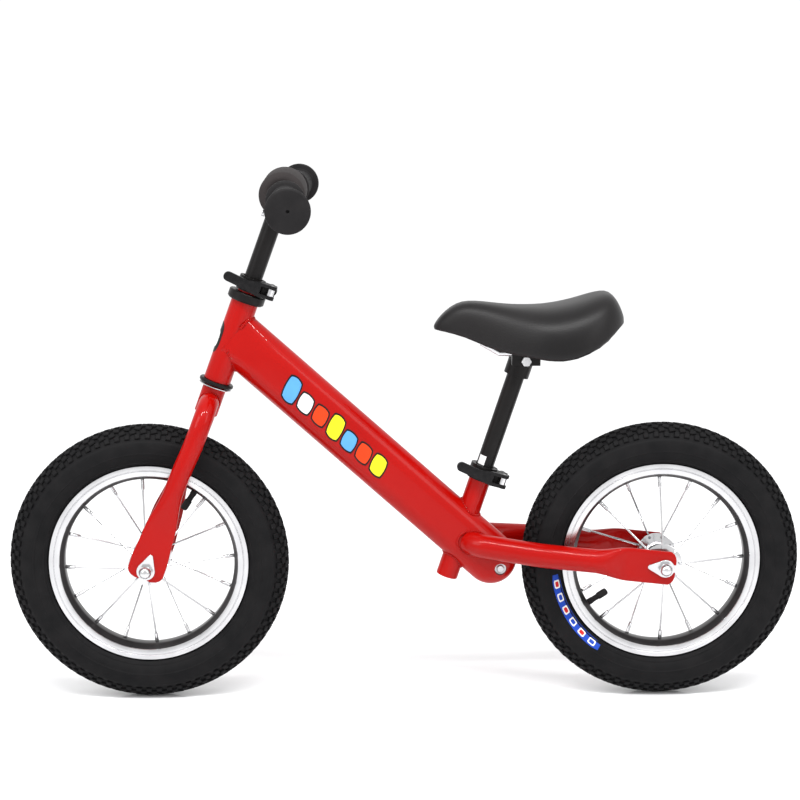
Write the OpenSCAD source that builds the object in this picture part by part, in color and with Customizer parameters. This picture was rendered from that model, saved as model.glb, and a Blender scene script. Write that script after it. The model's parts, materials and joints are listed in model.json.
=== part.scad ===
// Child's balance bike: welded tube frame, unicrown fork, two spoked wheels with air tyres,
// quick clamps for the seat post and the handlebar stem.
// +X points to the rear, +Y to the rider's right, +Z up; the ground is z = 0.

/* [Wheels] */
// Outside diameter of the tyre
tyre_d = 300; // [250:1:360]
// Width of the tyre
tyre_w = 48; // [42:1:54]
// Height of the tyre above the rim
tyre_h = 43; // [40:1:46]
// Width of the rim over its flanges
rim_w = 30; // [26:1:34]
// Height of the rim's bright side band
rim_side_h = 11; // [8:0.5:14]
// Diameter of the hub flanges
hub_flange_d = 42; // [38:1:50]
// Distance between the two hub flanges
hub_flange_gap = 50; // [46:1:54]
// Diameter of the hub's barrel
hub_barrel_d = 16; // [14:0.5:20]
// Number of spokes in a wheel, half on each flange
spoke_count = 16; // [12:4:20]
// Diameter of a spoke
spoke_d = 2; // [1.6:0.1:2.4]
// Length of a spoke nipple inside the rim
nipple_len = 12; // [8:0.5:14]
// Length of the valve that shows inside the rim
valve_len = 24; // [16:1:30]

/* [Axles] */
// Diameter of the axles
axle_d = 8; // [7:0.5:10]
// Distance between the inner faces of the slotted ends
dropout_gap = 82; // [80:1:92]
// Width across the flats of an axle nut
nut_flats = 13; // [12:0.5:15]
// Thickness of the tabbed washers
tab_washer_t = 2; // [1.5:0.1:3]

/* [Frame] */
// Lean of the steering axis from upright, degrees
steer_lean = 20; // [16:0.5:24]
// Lean of the seat tube from upright, degrees
seat_lean = 18.4; // [14:0.2:22]
// Fall of the main tube below level, degrees
main_fall = 41.75; // [38:0.25:45]
// Length of the head tube
head_tube_len = 90; // [80:1:110]
// Outside diameter of the head tube
head_tube_d = 29; // [28:0.5:32]
// Distance of the main tube's centre line below the top of the head tube
main_joint_drop = 37.5; // [34:0.5:44]
// Height of the main tube's oval section
main_tube_h = 56; // [48:1:62]
// Width of the main tube's oval section
main_tube_w = 38; // [34:1:42]
// Length of the main tube from the steering axis to the middle of its round nose
main_tube_len = 368; // [300:1:440]
// Wall of the main tube
main_wall = 1.8; // [1.5:0.1:3]
// Distance of the seat tube's crossing ahead of the middle of the nose
seat_joint_back = 42.6; // [38:0.2:52]
// Outside diameter of the seat tube
seat_tube_d = 23.5; // [22.5:0.5:26]
// Length of the seat tube above the main tube's centre line
seat_tube_up = 76; // [70:1:100]
// Length of the seat tube below the main tube's centre line
seat_tube_down = 50; // [44:1:60]
// Outside diameter of the chain stays
stay_d = 25.4; // [22:0.2:27]
// Distance of the stays' joint ahead of the middle of the nose
stay_joint_back = 32; // [28:0.5:36]
// Room between the rear tyre and each stay
stay_tyre_room = 7.3; // [5:0.1:12]
// Room between the rear tyre and the nose of the main tube
rear_tyre_room = 4.5; // [4:0.5:20]
// Height of the stays' flattened ends
stay_end_h = 36; // [30:1:40]
// Thickness of the flattened ends of stays and blades
flat_end_t = 4.6; // [4:0.1:6]
// Length of the slotted ends beyond the axle
dropout_tail = 11; // [9:0.5:14]

/* [Fork] */
// Distance from the wheel's centre line to the bottom of the head tube less the tyre's radius
crown_room = 60.5; // [56:0.5:80]
// Outside diameter of the steerer
steerer_d = 22.2; // [21.5:0.1:23]
// Outside diameter of the crown
crown_d = 25; // [24:0.5:28]
// Outside diameter of the blades
blade_d = 21; // [18:0.5:23]
// Room between the front tyre and each blade
blade_tyre_room = 5.5; // [4:0.5:10]
// Bend radius at the top of the blades
blade_bend_r = 28; // [26:1:32]
// Distance of the axle ahead of the steering axis
fork_rake = 3.5; // [2:0.5:8]
// Width of the blades' flattened ends
blade_end_w = 39; // [34:1:42]

/* [Handlebar and clamps] */
// Outside diameter of the stem and of the seat post
post_d = 19; // [18:0.1:19.4]
// Height of the bar above the top of the head tube, along the stem
bar_rise = 122; // [110:1:160]
// Length of stem inside the steerer
stem_inset = 60; // [55:1:80]
// Width of the handlebar over the grips
bar_w = 400; // [360:2:460]
// Outside diameter of the handlebar tube
bar_d = 22.2; // [19:0.1:23]
// Sweep of each half of the handlebar towards the rider, degrees
bar_sweep = 3.4; // [0:0.2:8]
// Diameter of the foam sleeve
pad_d = 48; // [40:1:56]
// Length of the foam sleeve
pad_len = 100; // [80:2:130]
// Length of a grip
grip_len = 112; // [95:1:125]
// Diameter of a grip's body
grip_d = 31; // [29:0.5:36]
// Diameter of the round flange at a grip's outer end
grip_flange_d = 44.5; // [38:0.5:50]
// Height of a clamp collar
collar_h = 15; // [13:0.5:18]
// Wall of a clamp collar
collar_wall = 3; // [2.5:0.1:4]
// Length of a clamp lever ahead of its tube's axis
lever_reach = 30; // [26:0.5:36]

/* [Seat] */
// Height of the rail clamp above the top of the seat collar
seat_rise = 117; // [110:1:145]
// Length of the seat post
post_len = 176; // [165:1:215]
// Length of the saddle
saddle_len = 201; // [180:1:230]
// Width of the saddle at its widest
saddle_w = 132; // [116:1:150]
// Height of the saddle's sides in the middle
saddle_h = 56; // [50:1:64]
// Distance between the saddle's two rails
rail_gap = 34; // [30:1:38]

/* [Hidden] */
$fn = 64;

red = [0.74, 0.05, 0.02];
black = [0.09, 0.09, 0.10];
rubber_black = [0.13, 0.13, 0.14];
chrome = [0.80, 0.80, 0.82];
gap = 0.3;              // room between pieces that move past each other
cut = 1;                // how far a cutting shape runs past what it cuts

// Steering axis: distances along it start at the wheel's centre line
tyre_r = tyre_d / 2;
hub_z = tyre_r;
fork_len = tyre_r + crown_room;
head_top = fork_len + head_tube_len;
main_joint = head_top - main_joint_drop;
nose_r = main_tube_h / 2;
nose_x = main_joint * sin(steer_lean) + main_tube_len * cos(main_fall) + nose_r;
rear_x = nose_x + rear_tyre_room + tyre_r;
front_x = -fork_rake / cos(steer_lean);
steer_x = -(rear_x + front_x) / 2;
front_hub = [steer_x + front_x, 0, hub_z];
rear_hub = [steer_x + rear_x, 0, hub_z];
main_top = [steer_x + main_joint * sin(steer_lean), 0, hub_z + main_joint * cos(steer_lean)];
function on_main(u) = main_top + u * [cos(main_fall), 0, -sin(main_fall)];

// Tubes
steerer_r = steerer_d / 2;
cup_clear = 0.5;        // running room of a cup round the steerer
cup_r = steerer_r + cup_clear;
head_bore_r = head_tube_d / 2 - 1.8;
ball_r = 1.95;
post_clear = 0.05;
post_bore_r = post_d / 2 + post_clear;
seat_base = on_main(main_tube_len - seat_joint_back);
seat_top = seat_tube_up + 1;
stay_base = on_main(main_tube_len - stay_joint_back);
stay_span = rear_hub[0] - stay_base[0];
stay_fall = atan((stay_base[2] - rear_hub[2]) / stay_span);
stay_run = stay_span / cos(stay_fall);
stay_y = tyre_w / 2 + stay_tyre_room + stay_d / 2;
dropout_y = dropout_gap / 2;
flat_y = dropout_y + flat_end_t / 2;
blade_y = tyre_w / 2 + blade_tyre_room + blade_d / 2;
slot_w = axle_d + 0.6;

module on_steer(s = 0) { translate([steer_x, 0, hub_z]) rotate([0, steer_lean, 0]) translate([0, 0, s]) children(); }
module on_main_tube() { translate(main_top) rotate([0, main_fall, 0]) children(); }
module on_seat_tube(t = 0) { translate(seat_base) rotate([0, seat_lean, 0]) translate([0, 0, t]) children(); }
module on_stay() { translate(stay_base) rotate([0, stay_fall, 0]) children(); }
module across(at) { translate(at) rotate([90, 0, 0]) children(); }   // local z runs to the rider's left
module both_sides() { children(); mirror([0, 1, 0]) children(); }
module tube(r, bore, len) {
    difference() {
        cylinder(r = r, h = len);
        translate([0, 0, -cut]) cylinder(r = bore, h = len + 2 * cut);
    }
}
module oval(w, h) {
    square([h - w, w], center = true);
    for (side = [-1, 1]) translate([side * (h - w) / 2, 0]) circle(d = w);
}

// ---- Frame ----
module main_tube_solid(inset, back) {
    intersection() {
        translate([-back, 0, 0]) rotate([0, 90, 0])
            linear_extrude(back + main_tube_len + nose_r) oval(main_tube_w - 2 * inset, main_tube_h - 2 * inset);
        rotate([90, 0, 0]) linear_extrude(main_tube_w, center = true) union() {
            translate([-back, -nose_r]) square([back + main_tube_len, main_tube_h]);
            translate([main_tube_len, 0]) circle(r = nose_r - inset);
        }
    }
}
nose_bolt_back = 13;    // bolt hole's distance behind the middle of the nose
nose_bolt_d = 8;
nose_dish_d = 13;
nose_plate_t = 3;

module main_tube() {
    color(red) difference() {
        union() {
            difference() {
                on_main_tube() main_tube_solid(0, 0);
                on_main_tube() main_tube_solid(main_wall, 0.01);
            }
            on_main_tube() intersection() {
                across([main_tube_len + nose_bolt_back, main_tube_w / 2, 0])
                    cylinder(d = nose_dish_d + 2 * nose_plate_t, h = main_tube_w);
                main_tube_solid(0, 0);
            }
        }
        on_steer(fork_len) cylinder(d = head_tube_d, h = head_tube_len);
        on_seat_tube(-seat_tube_down) cylinder(d = seat_tube_d, h = seat_tube_down + seat_tube_up);
        on_main_tube() across([main_tube_len + nose_bolt_back, main_tube_w / 2 + cut, 0])
            cylinder(d = nose_bolt_d + 0.4, h = main_tube_w + 2 * cut);
        on_main_tube() both_sides() across([main_tube_len + nose_bolt_back, -main_tube_w / 2 + nose_plate_t * 2, 0])
            cylinder(d = nose_dish_d, h = nose_plate_t * 3);
    }
}
module head_tube() { color(red) on_steer(fork_len) tube(head_tube_d / 2, head_bore_r, head_tube_len); }
module seat_tube() {
    color(red) on_seat_tube(-seat_tube_down)
        tube(seat_tube_d / 2, post_bore_r, seat_tube_down + seat_tube_up);
}

// A tube that bends and flattens is swept through frames: middle, side and up directions, half sizes
// along them, and how square its section is, from 1 for round to 0.3 for nearly flat sided
sweep_sides = 24;
tube_wall = 1.8;
function power(v, e) = sign(v) * pow(abs(v), e);
function frame_ring(f, inset) = [for (k = [0:sweep_sides - 1]) let (a = k * 360 / sweep_sides)
    f[0] + f[1] * (f[3] - inset) * power(cos(a), f[5]) + f[2] * (f[4] - inset) * power(sin(a), f[5])];
module swept(frames, inset = 0) {
    last = len(frames) - 1;
    polyhedron(
        points = [for (f = frames) each frame_ring(f, inset)],
        faces = concat(
            [[for (k = [0:sweep_sides - 1]) k]],
            [for (i = [0:last - 1], k = [0:sweep_sides - 1]) let (n = (k + 1) % sweep_sides, row = i * sweep_sides)
                [row + k, row + sweep_sides + k, row + sweep_sides + n, row + n]],
            [[for (k = [sweep_sides - 1:-1:0]) last * sweep_sides + k]]));
}
function ease(t) = t * t * (3 - 2 * t);
function blend(a, b, t) = a + (b - a) * ease(t);
flat_square = 0.35;

// A stay leaves the main tube's side, bends back, spreads past the tyre and ends in a slotted plate
stay_spread = 14;
stay_bend_in = 28;
stay_bend_out = 90;
stay_start = [-2, 2.7];
spread_x = stay_start[0] + stay_bend_in * (1 - sin(stay_spread));
spread_y = stay_start[1] + stay_bend_in * cos(stay_spread);
spread_len = (stay_y - stay_bend_out * (1 - cos(stay_spread)) - spread_y) / sin(stay_spread);
round_end_x = spread_x + spread_len * cos(stay_spread) + stay_bend_out * sin(stay_spread);
plate_start_x = stay_run - 38;
pinch_start_x = stay_run - 76;
function stay_frame(x, y, heading, half_t = stay_d / 2, half_h = stay_d / 2, square = 1) =
    [[x, -y, 0], [-sin(heading), -cos(heading), 0], [0, 0, -1], half_t, half_h, square];
stay_round = concat(
    [for (h = [90:-(90 - stay_spread) / 6:stay_spread - 0.1])
        stay_frame(stay_start[0] + stay_bend_in * (1 - sin(h)), stay_start[1] + stay_bend_in * cos(h), h)],
    [for (h = [stay_spread:-stay_spread / 3:-0.1])
        stay_frame(round_end_x - stay_bend_out * sin(h), stay_y - stay_bend_out * (1 - cos(h)), h)],
    [stay_frame(pinch_start_x, stay_y, 0)]);
stay_flat = concat(
    [for (t = [0.2:0.2:1.01]) stay_frame(pinch_start_x + t * (plate_start_x - pinch_start_x),
        blend(stay_y, flat_y, t), 0, blend(stay_d, flat_end_t, t) / 2, blend(stay_d, stay_end_h, t) / 2,
        blend(1, flat_square, t))],
    [stay_frame(stay_run + dropout_tail - 6, flat_y, 0, flat_end_t / 2, stay_end_h / 2, flat_square),
     stay_frame(stay_run + dropout_tail, flat_y, 0, flat_end_t / 2, stay_end_h / 2 - 9, flat_square)]);
stay_hollow_end = stay_frame(pinch_start_x + 22, stay_y, 0, 5, 13);

module stay_shape() {
    difference() {
        swept(concat(stay_round, stay_flat));
        swept(concat([stay_frame(stay_start[0], stay_start[1] - 2, 90)], stay_round, [stay_hollow_end]), tube_wall);
        across([stay_run, -dropout_y + cut, 0]) linear_extrude(flat_end_t + 2 * cut) union() {
            circle(d = slot_w);
            translate([0, -slot_w / 2]) square([dropout_tail + cut, slot_w]);
        }
    }
}
module chain_stay_left() {
    color(red) difference() {
        on_stay() stay_shape();
        on_main_tube() main_tube_solid(0, 0);
    }
}
module chain_stay_right() { mirror([0, 1, 0]) chain_stay_left(); }
nose_head_h = 4;
nose_nut_h = 5;
module nose_bolt() {
    seat_y = main_tube_w / 2 - nose_plate_t * 2;
    head_d = nose_dish_d - 1.6;
    color(chrome) on_main_tube() across([main_tube_len + nose_bolt_back, 0, 0]) {
        translate([0, 0, -seat_y - nose_nut_h - 1]) cylinder(d = nose_bolt_d, h = 2 * seat_y + nose_nut_h + 1);
        translate([0, 0, seat_y]) cylinder(d = head_d, h = nose_head_h, $fn = 6);
        translate([0, 0, -seat_y - nose_nut_h]) cylinder(d = head_d, h = nose_nut_h, $fn = 6);
    }
}

// ---- Headset ----
cup_flange_r = 18.5;
cup_skirt_h = 3;
cup_plate_t = 1;
cup_sleeve_h = 8;
race_plate_t = 1.2;
ball_ring_r = cup_r + ball_r + 0.6;
ball_count = 14;
module cup(plate_up) {
    // a plate and skirt over the balls and a sleeve pressed into the head tube
    mirror([0, 0, plate_up ? 0 : 1]) {
        tube(cup_flange_r, cup_r, cup_plate_t);
        translate([0, 0, cup_plate_t - cut / 2]) tube(cup_flange_r, cup_flange_r - 1.3, cup_skirt_h + cut / 2);
        translate([0, 0, -cup_sleeve_h]) tube(head_bore_r, cup_r, cup_sleeve_h + cut / 2);
    }
}
upper_seat = head_top;
lower_seat = fork_len;
ball_rise = cup_plate_t + 0.1 + ball_r;
module headset_upper_cup() { color(black) on_steer(upper_seat) cup(true); }
module headset_lower_cup() { color(black) on_steer(lower_seat) cup(false); }
module headset_balls() {
    color(chrome) for (s = [upper_seat + ball_rise, lower_seat - ball_rise]) on_steer(s)
        for (i = [0:ball_count - 1]) rotate([0, 0, i * 360 / ball_count]) translate([ball_ring_r, 0, 0]) sphere(r = ball_r);
}
race_face = ball_rise + ball_r + gap;
race_base = race_face + race_plate_t;
module crown_race() {
    color(chrome) on_steer(lower_seat - race_base) {
        tube(cup_flange_r - 0.7, steerer_r, race_plate_t);
    }
}
nut_h = 10;
module headset_top_nut() {
    skirt_in = cup_flange_r + gap;
    color(black) on_steer(upper_seat + race_face) {
        tube(skirt_in + 1, steerer_r, nut_h - race_face);
        translate([0, 0, -race_face + 1.2]) tube(skirt_in + 1, skirt_in, race_face - 1.2 + cut / 2);
    }
}

// ---- Fork ----
blade_top = fork_len - 23.5;            // centre of the blade where it meets the crown
blade_bend_start = blade_top - blade_bend_r;
blade_round_end = 92;
blade_flat_start = 38;
blade_flare_w = 34;
collar_low = head_top + nut_h + 0.4;
collar_top = collar_low + collar_h;

module steerer() {
    color(red) on_steer(0) {
        translate([0, 0, fork_len - race_base]) difference() {
            tube(steerer_r, post_bore_r, collar_top - fork_len + race_base);
            translate([0, -0.75, head_top + nut_h - fork_len + race_base]) cube([steerer_d, 1.5, collar_h + cut]);
        }
        translate([0, 0, blade_top - blade_d / 2 - 3])
            tube(crown_d / 2, post_bore_r, fork_len - race_base - blade_top + blade_d / 2 + 3);
    }
}
function blade_frame(s, y, heading = 0, p = 0, half_t = blade_d / 2, half_w = blade_d / 2, square = 1) =
    [[p, -y, s], [0, -cos(heading), sin(heading)], [-1, 0, 0], half_t, half_w, square];
blade_in_y = blade_y - blade_bend_r;
blade_inner = blade_frame(blade_top, blade_in_y - 8, 90);
blade_round = concat(
    [for (h = [90:-15:-0.1])
        blade_frame(blade_bend_start + blade_bend_r * sin(h), blade_in_y + blade_bend_r * cos(h), h)],
    [for (t = [0.5, 1]) blade_frame(blade_bend_start + t * (blade_round_end - blade_bend_start), blade_y, 0,
        -fork_rake * ease(t))]);
blade_flat = concat(
    [for (t = [0.2:0.2:1.01]) blade_frame(blade_round_end + t * (blade_flat_start - blade_round_end),
        blend(blade_y, flat_y, t), 0, -fork_rake, blend(blade_d, flat_end_t, t) / 2,
        blend(blade_d, blade_flare_w, t) / 2, blend(1, flat_square, t))],
    [for (e = [[14, blade_end_w / 2], [-4, blade_end_w / 2], [-9.8, 10.5]])
        blade_frame(e[0], flat_y, 0, -fork_rake, flat_end_t / 2, e[1], flat_square)]);
blade_hollow_end = blade_frame(blade_round_end - 18, blade_y, 0, -fork_rake, 5, 11);

module blade_shape() {
    difference() {
        swept(concat([blade_inner], blade_round, blade_flat));
        swept(concat([blade_frame(blade_top, blade_in_y - 10, 90)], blade_round, [blade_hollow_end]), tube_wall);
        across([-fork_rake, -dropout_y + cut, 0]) linear_extrude(flat_end_t + 2 * cut) union() {
            circle(d = slot_w);
            translate([-slot_w / 2, -dropout_tail]) square([slot_w, dropout_tail]);
        }
    }
}
module fork_blade_left() {
    color(red) on_steer() difference() {
        blade_shape();
        translate([0, 0, blade_top - blade_d]) cylinder(d = crown_d, h = 2 * blade_d);
    }
}
module fork_blade_right() { mirror([0, 1, 0]) fork_blade_left(); }

// ---- Quick clamps: a split collar, a skewer through its ears, and a cam lever on a barrel ----
ear_x = 22;
ear_end = 27;
ear_y = 6;
split = 2.4;
skewer_d = 5;
barrel_d = 8;
barrel_y = 12;
prong_t = 3.4;
prong_r = 5.6;
pin_d = 3;
lever_t = 5;
lever_h = 10;
barrel_h = collar_h - 2 * prong_t - 1.2;
module collar(bore) {
    difference() {
        union() {
            cylinder(r = bore + collar_wall, h = collar_h);
            translate([0, -ear_y, 1]) cube([ear_end, 2 * ear_y, collar_h - 2]);
        }
        translate([0, 0, -cut]) cylinder(r = bore, h = collar_h + 2 * cut);
        translate([0, -split / 2, -cut]) cube([ear_end + cut, split, collar_h + 2 * cut]);
        across([ear_x, ear_y + cut, collar_h / 2]) cylinder(d = skewer_d, h = 2 * ear_y + 2 * cut);
    }
}
module skewer() {
    across([ear_x, ear_y + 5, collar_h / 2]) cylinder(d = skewer_d, h = ear_y + 5 + barrel_y - barrel_d / 2 + 1);
}
module skewer_nut() {
    across([ear_x, ear_y + 5.5, collar_h / 2]) difference() {
        cylinder(d = 13, h = 5.5);
        translate([0, 0, 0.5]) cylinder(d = skewer_d, h = 5.5);
    }
}
module lever_barrel() {
    translate([ear_x, -barrel_y, collar_h / 2]) difference() {
        union() {
            cylinder(d = barrel_d, h = barrel_h, center = true);
            cylinder(d = pin_d, h = collar_h, center = true);
        }
        across([0, 0, 0]) translate([0, 0, -barrel_d]) cylinder(d = skewer_d, h = barrel_d + barrel_d / 2 - 1);
    }
}
module lever(bore) {
    side_y = bore + collar_wall + 0.8 + lever_t / 2;
    mid = collar_h / 2;
    difference() {
        union() {
            for (z = [0, collar_h - prong_t]) {
                translate([ear_x, -barrel_y, z]) cylinder(r = prong_r, h = prong_t);
                hull() {
                    translate([ear_x, -barrel_y - 2, z]) cylinder(d = lever_t, h = prong_t, $fn = 32);
                    translate([9, -side_y, z]) cylinder(d = lever_t, h = prong_t, $fn = 32);
                }
            }
            hull() {
                translate([9, -side_y, mid - collar_h / 2]) cylinder(d = lever_t, h = collar_h, $fn = 32);
                translate([-4, -side_y, mid - lever_h / 2]) cylinder(d = lever_t, h = lever_h, $fn = 32);
            }
            hull() {
                translate([-4, -side_y, mid - lever_h / 2]) cylinder(d = lever_t, h = lever_h, $fn = 32);
                across([-lever_reach + lever_h / 2, -side_y + lever_t / 2 + 1.5, mid + 2])
                    cylinder(d = lever_h, h = lever_t, $fn = 32);
            }
        }
        translate([ear_x, -barrel_y, -cut]) cylinder(d = pin_d + 0.1, h = collar_h + 2 * cut);
        translate([ear_x, -barrel_y, prong_t]) cylinder(r = prong_r + 4, h = collar_h - 2 * prong_t);
    }
}
seat_bore = seat_tube_d / 2;
seat_collar_low = seat_tube_up - collar_h;
module seat_collar() {
    color(black) on_seat_tube(seat_collar_low) {
        collar(seat_bore);
        translate([0, 0, collar_h]) difference() {
            tube(seat_bore + collar_wall, post_bore_r + 0.6, 1);
            translate([0, -split / 2, -cut]) cube([ear_end, split, 1 + 2 * cut]);
        }
    }
}
module seat_skewer() { color(chrome) on_seat_tube(seat_collar_low) skewer(); }
module seat_skewer_nut() { color(black) on_seat_tube(seat_collar_low) skewer_nut(); }
module seat_lever_barrel() { color(chrome) on_seat_tube(seat_collar_low) lever_barrel(); }
module seat_clamp_lever() { color(black) on_seat_tube(seat_collar_low) lever(seat_bore); }
module stem_collar() { color(black) on_steer(collar_low) collar(steerer_r); }
module stem_skewer() { color(chrome) on_steer(collar_low) skewer(); }
module stem_skewer_nut() { color(black) on_steer(collar_low) skewer_nut(); }
module stem_lever_barrel() { color(chrome) on_steer(collar_low) lever_barrel(); }
module stem_clamp_lever() { color(black) on_steer(collar_low) lever(steerer_r); }

// ---- Handlebar ----
bar_s = head_top + bar_rise;
bar_half = bar_w / 2;
end_wall = 1.5;
module on_bar_half(side) { on_steer(bar_s) mirror([0, side < 0 ? 0 : 1, 0]) rotate([90, 0, bar_sweep]) children(); }
module stem() {
    color(black) on_steer(collar_low - stem_inset) difference() {
        tube(post_d / 2, post_d / 2 - 1.6, bar_s - collar_low + stem_inset);
        translate([0, bar_half, bar_s - collar_low + stem_inset]) rotate([90, 0, 0]) cylinder(d = bar_d, h = bar_w);
    }
}
module handlebar_tube() {
    color(black) difference() {
        for (side = [-1, 1]) on_bar_half(side) cylinder(d = bar_d, h = bar_half - end_wall - 1);
        for (side = [-1, 1]) on_bar_half(side) translate([0, 0, 6]) cylinder(d = bar_d - 3, h = bar_half);
    }
}
screw_drop = 29;        // screw on the stem's front, below the bar
screw_head_d = 7;
module handlebar_sleeve() {
    color(rubber_black) difference() {
        on_steer(bar_s) rotate([90, 0, 0]) cylinder(d = pad_d, h = pad_len, center = true);
        for (side = [-1, 1]) on_bar_half(side) translate([0, 0, -2]) cylinder(d = bar_d + 0.01, h = pad_len);
        on_steer(bar_s - pad_d) cylinder(d = post_d + 2, h = pad_d);
        on_steer(bar_s - screw_drop) rotate([0, -90, 0]) cylinder(d = screw_head_d + 2, h = pad_d);
    }
}
module sleeve_screw() {
    color(chrome) on_steer(bar_s - screw_drop) rotate([0, -90, 0]) translate([0, 0, post_d / 2]) {
        cylinder(d = screw_head_d / 2, h = 2);
        translate([0, 0, 1.5]) cylinder(d = screw_head_d, h = 3);
    }
}
grip_step = 9;          // how much wider the inner flange is than the grip's body
grip_step_h = 5;
grip_flange_h = 8;
module grip(side) {
    color(rubber_black) on_bar_half(side) difference() {
        union() {
            translate([0, 0, bar_half - grip_len]) cylinder(d = grip_d + grip_step, h = grip_step_h);
            translate([0, 0, bar_half - grip_len]) cylinder(d = grip_d, h = grip_len - cut);
            translate([0, 0, bar_half - grip_flange_h]) cylinder(d = grip_flange_d, h = grip_flange_h);
        }
        translate([0, 0, bar_half - grip_len - cut]) cylinder(d = bar_d, h = grip_len + cut - end_wall - 1);
    }
}
module grip_left() { grip(-1); }
module grip_right() { grip(1); }

// ---- Seat ----
seat_clamp_at = seat_top + seat_rise;
post_bottom = seat_clamp_at - post_len;
clamp_rise = 14;            // rails above the top of the post, along the seat tube
clamp_low = 13;
clamp_bolt_low = 8;
clamp_bolt_d = 6;
rail_d = 7;
cover_t = 9;
module seat_post() {
    color(black) on_seat_tube(post_bottom) tube(post_d / 2, post_d / 2 - 1.6, post_len - 0.2);
}
module on_saddle() { translate(seat_base + (seat_clamp_at + clamp_rise) * [sin(seat_lean), 0, cos(seat_lean)]) children(); }
clamp_len = 30;
clamp_over = 5;             // top of the clamp above the rails' middle
clamp_side = 7;             // width of the clamp outside each rail's middle
socket_wall = 4;
socket_h = 14;
clamp_reach = rail_gap / 2 + clamp_side;
clamp_bolt_head_d = 11;
clamp_bolt_head_h = 4;
module rail_clamp() {
    color(black) difference() {
        union() {
            on_seat_tube(seat_clamp_at - socket_h) cylinder(d = post_d + 2 * socket_wall, h = socket_h + 2);
            on_saddle() translate([-clamp_len / 2, -clamp_reach, -clamp_low])
                cube([clamp_len, 2 * clamp_reach, clamp_low + clamp_over]);
        }
        on_seat_tube(seat_clamp_at - 2 * socket_h) cylinder(d = post_d, h = 2 * socket_h);
        on_saddle() for (side = [-1, 1]) translate([-clamp_len, side * rail_gap / 2, 0]) rotate([0, 90, 0])
            cylinder(d = rail_d, h = 2 * clamp_len);
        on_saddle() across([0, rail_gap, -clamp_bolt_low]) cylinder(d = clamp_bolt_d, h = 2 * rail_gap);
    }
}
module rail_clamp_bolt() {
    head_low = -clamp_reach - clamp_bolt_head_h;
    color(chrome) on_saddle() across([0, 0, -clamp_bolt_low]) {
        translate([0, 0, head_low]) cylinder(d = clamp_bolt_d, h = 2 * clamp_reach + clamp_bolt_head_h);
        for (z = [clamp_reach, head_low]) translate([0, 0, z])
            cylinder(d = clamp_bolt_head_d, h = clamp_bolt_head_h, $fn = 6);
    }
}
rail_front = -48;
rail_back = 58;
rail_ramp = 20;             // length of a rail's sloping end
rail_slope = 60;            // slope of a rail's ends from upright
base_low = 14;              // underside of the saddle's base above the rails
base_t = 4;
base_len = 130;
module saddle_rails() {
    ramp_len = (base_low - rail_d / 2 * sin(rail_slope)) / cos(rail_slope) - 0.04;
    color(chrome) on_saddle() for (side = [-1, 1]) translate([0, side * rail_gap / 2, 0]) {
        translate([rail_front + rail_ramp, 0, 0]) rotate([0, 90, 0])
            cylinder(d = rail_d, h = rail_back - rail_front - 2 * rail_ramp);
        for (x = [rail_front + rail_ramp, rail_back - rail_ramp]) translate([x, 0, 0]) sphere(d = rail_d);
        translate([rail_front + rail_ramp, 0, 0]) rotate([0, -rail_slope, 0]) cylinder(d = rail_d, h = ramp_len);
        translate([rail_back - rail_ramp, 0, 0]) rotate([0, rail_slope, 0]) cylinder(d = rail_d, h = ramp_len);
    }
}
module saddle_base() {
    color(black) on_saddle() intersection() {
        saddle_cavity(cover_t + gap);
        translate([rail_front - 2, -saddle_w / 2, base_low]) cube([base_len, saddle_w, base_t]);
    }
}

// Saddle stations run from the nose to the tail: place, half width, top and lower edge
saddle_nose_x = -saddle_len / 2;
stations = [
    [0.00, 0.16, 0.36, 0.08], [0.04, 0.27, 0.62, -0.02], [0.14, 0.36, 0.96, -0.06], [0.30, 0.50, 0.97, -0.11],
    [0.50, 0.84, 0.90, -0.17], [0.70, 1.00, 0.91, -0.18], [0.84, 0.92, 1.04, 0.02], [0.93, 0.66, 1.13, 0.26],
    [1.00, 0.34, 0.72, 0.40]
];
saddle_shift = 4;
module saddle_slice(st, inset) {
    half = st[1] * saddle_w / 2 - inset;
    top = st[2] * saddle_h - inset;
    low = st[3] * saddle_h - (inset > 0 ? 20 : 0);
    round_r = min(half * 0.75, (top - low) * 0.42);
    translate([saddle_nose_x + saddle_shift + st[0] * saddle_len, 0, 0]) rotate([90, 0, 90]) linear_extrude(0.2)
        hull() {
            for (side = [-1, 1]) translate([side * (half - round_r), top - round_r]) circle(r = round_r, $fn = 32);
            for (side = [-1, 1]) translate([side * half * 0.93 - 0.5, low]) square([1, 1]);
        }
}
module saddle_cavity(inset) {
    for (i = [1:len(stations) - 3]) hull() {
        saddle_slice(stations[i], inset);
        saddle_slice(stations[i + 1], inset);
    }
}
module saddle() {
    color(black) on_saddle() difference() {
        for (i = [0:len(stations) - 2]) hull() {
            saddle_slice(stations[i], 0);
            saddle_slice(stations[i + 1], 0);
        }
        intersection() {
            saddle_cavity(cover_t);
            translate([-saddle_len, -saddle_w, -saddle_h]) cube([2 * saddle_len, 2 * saddle_w, saddle_h + base_low + base_t]);
        }
    }
}

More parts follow.
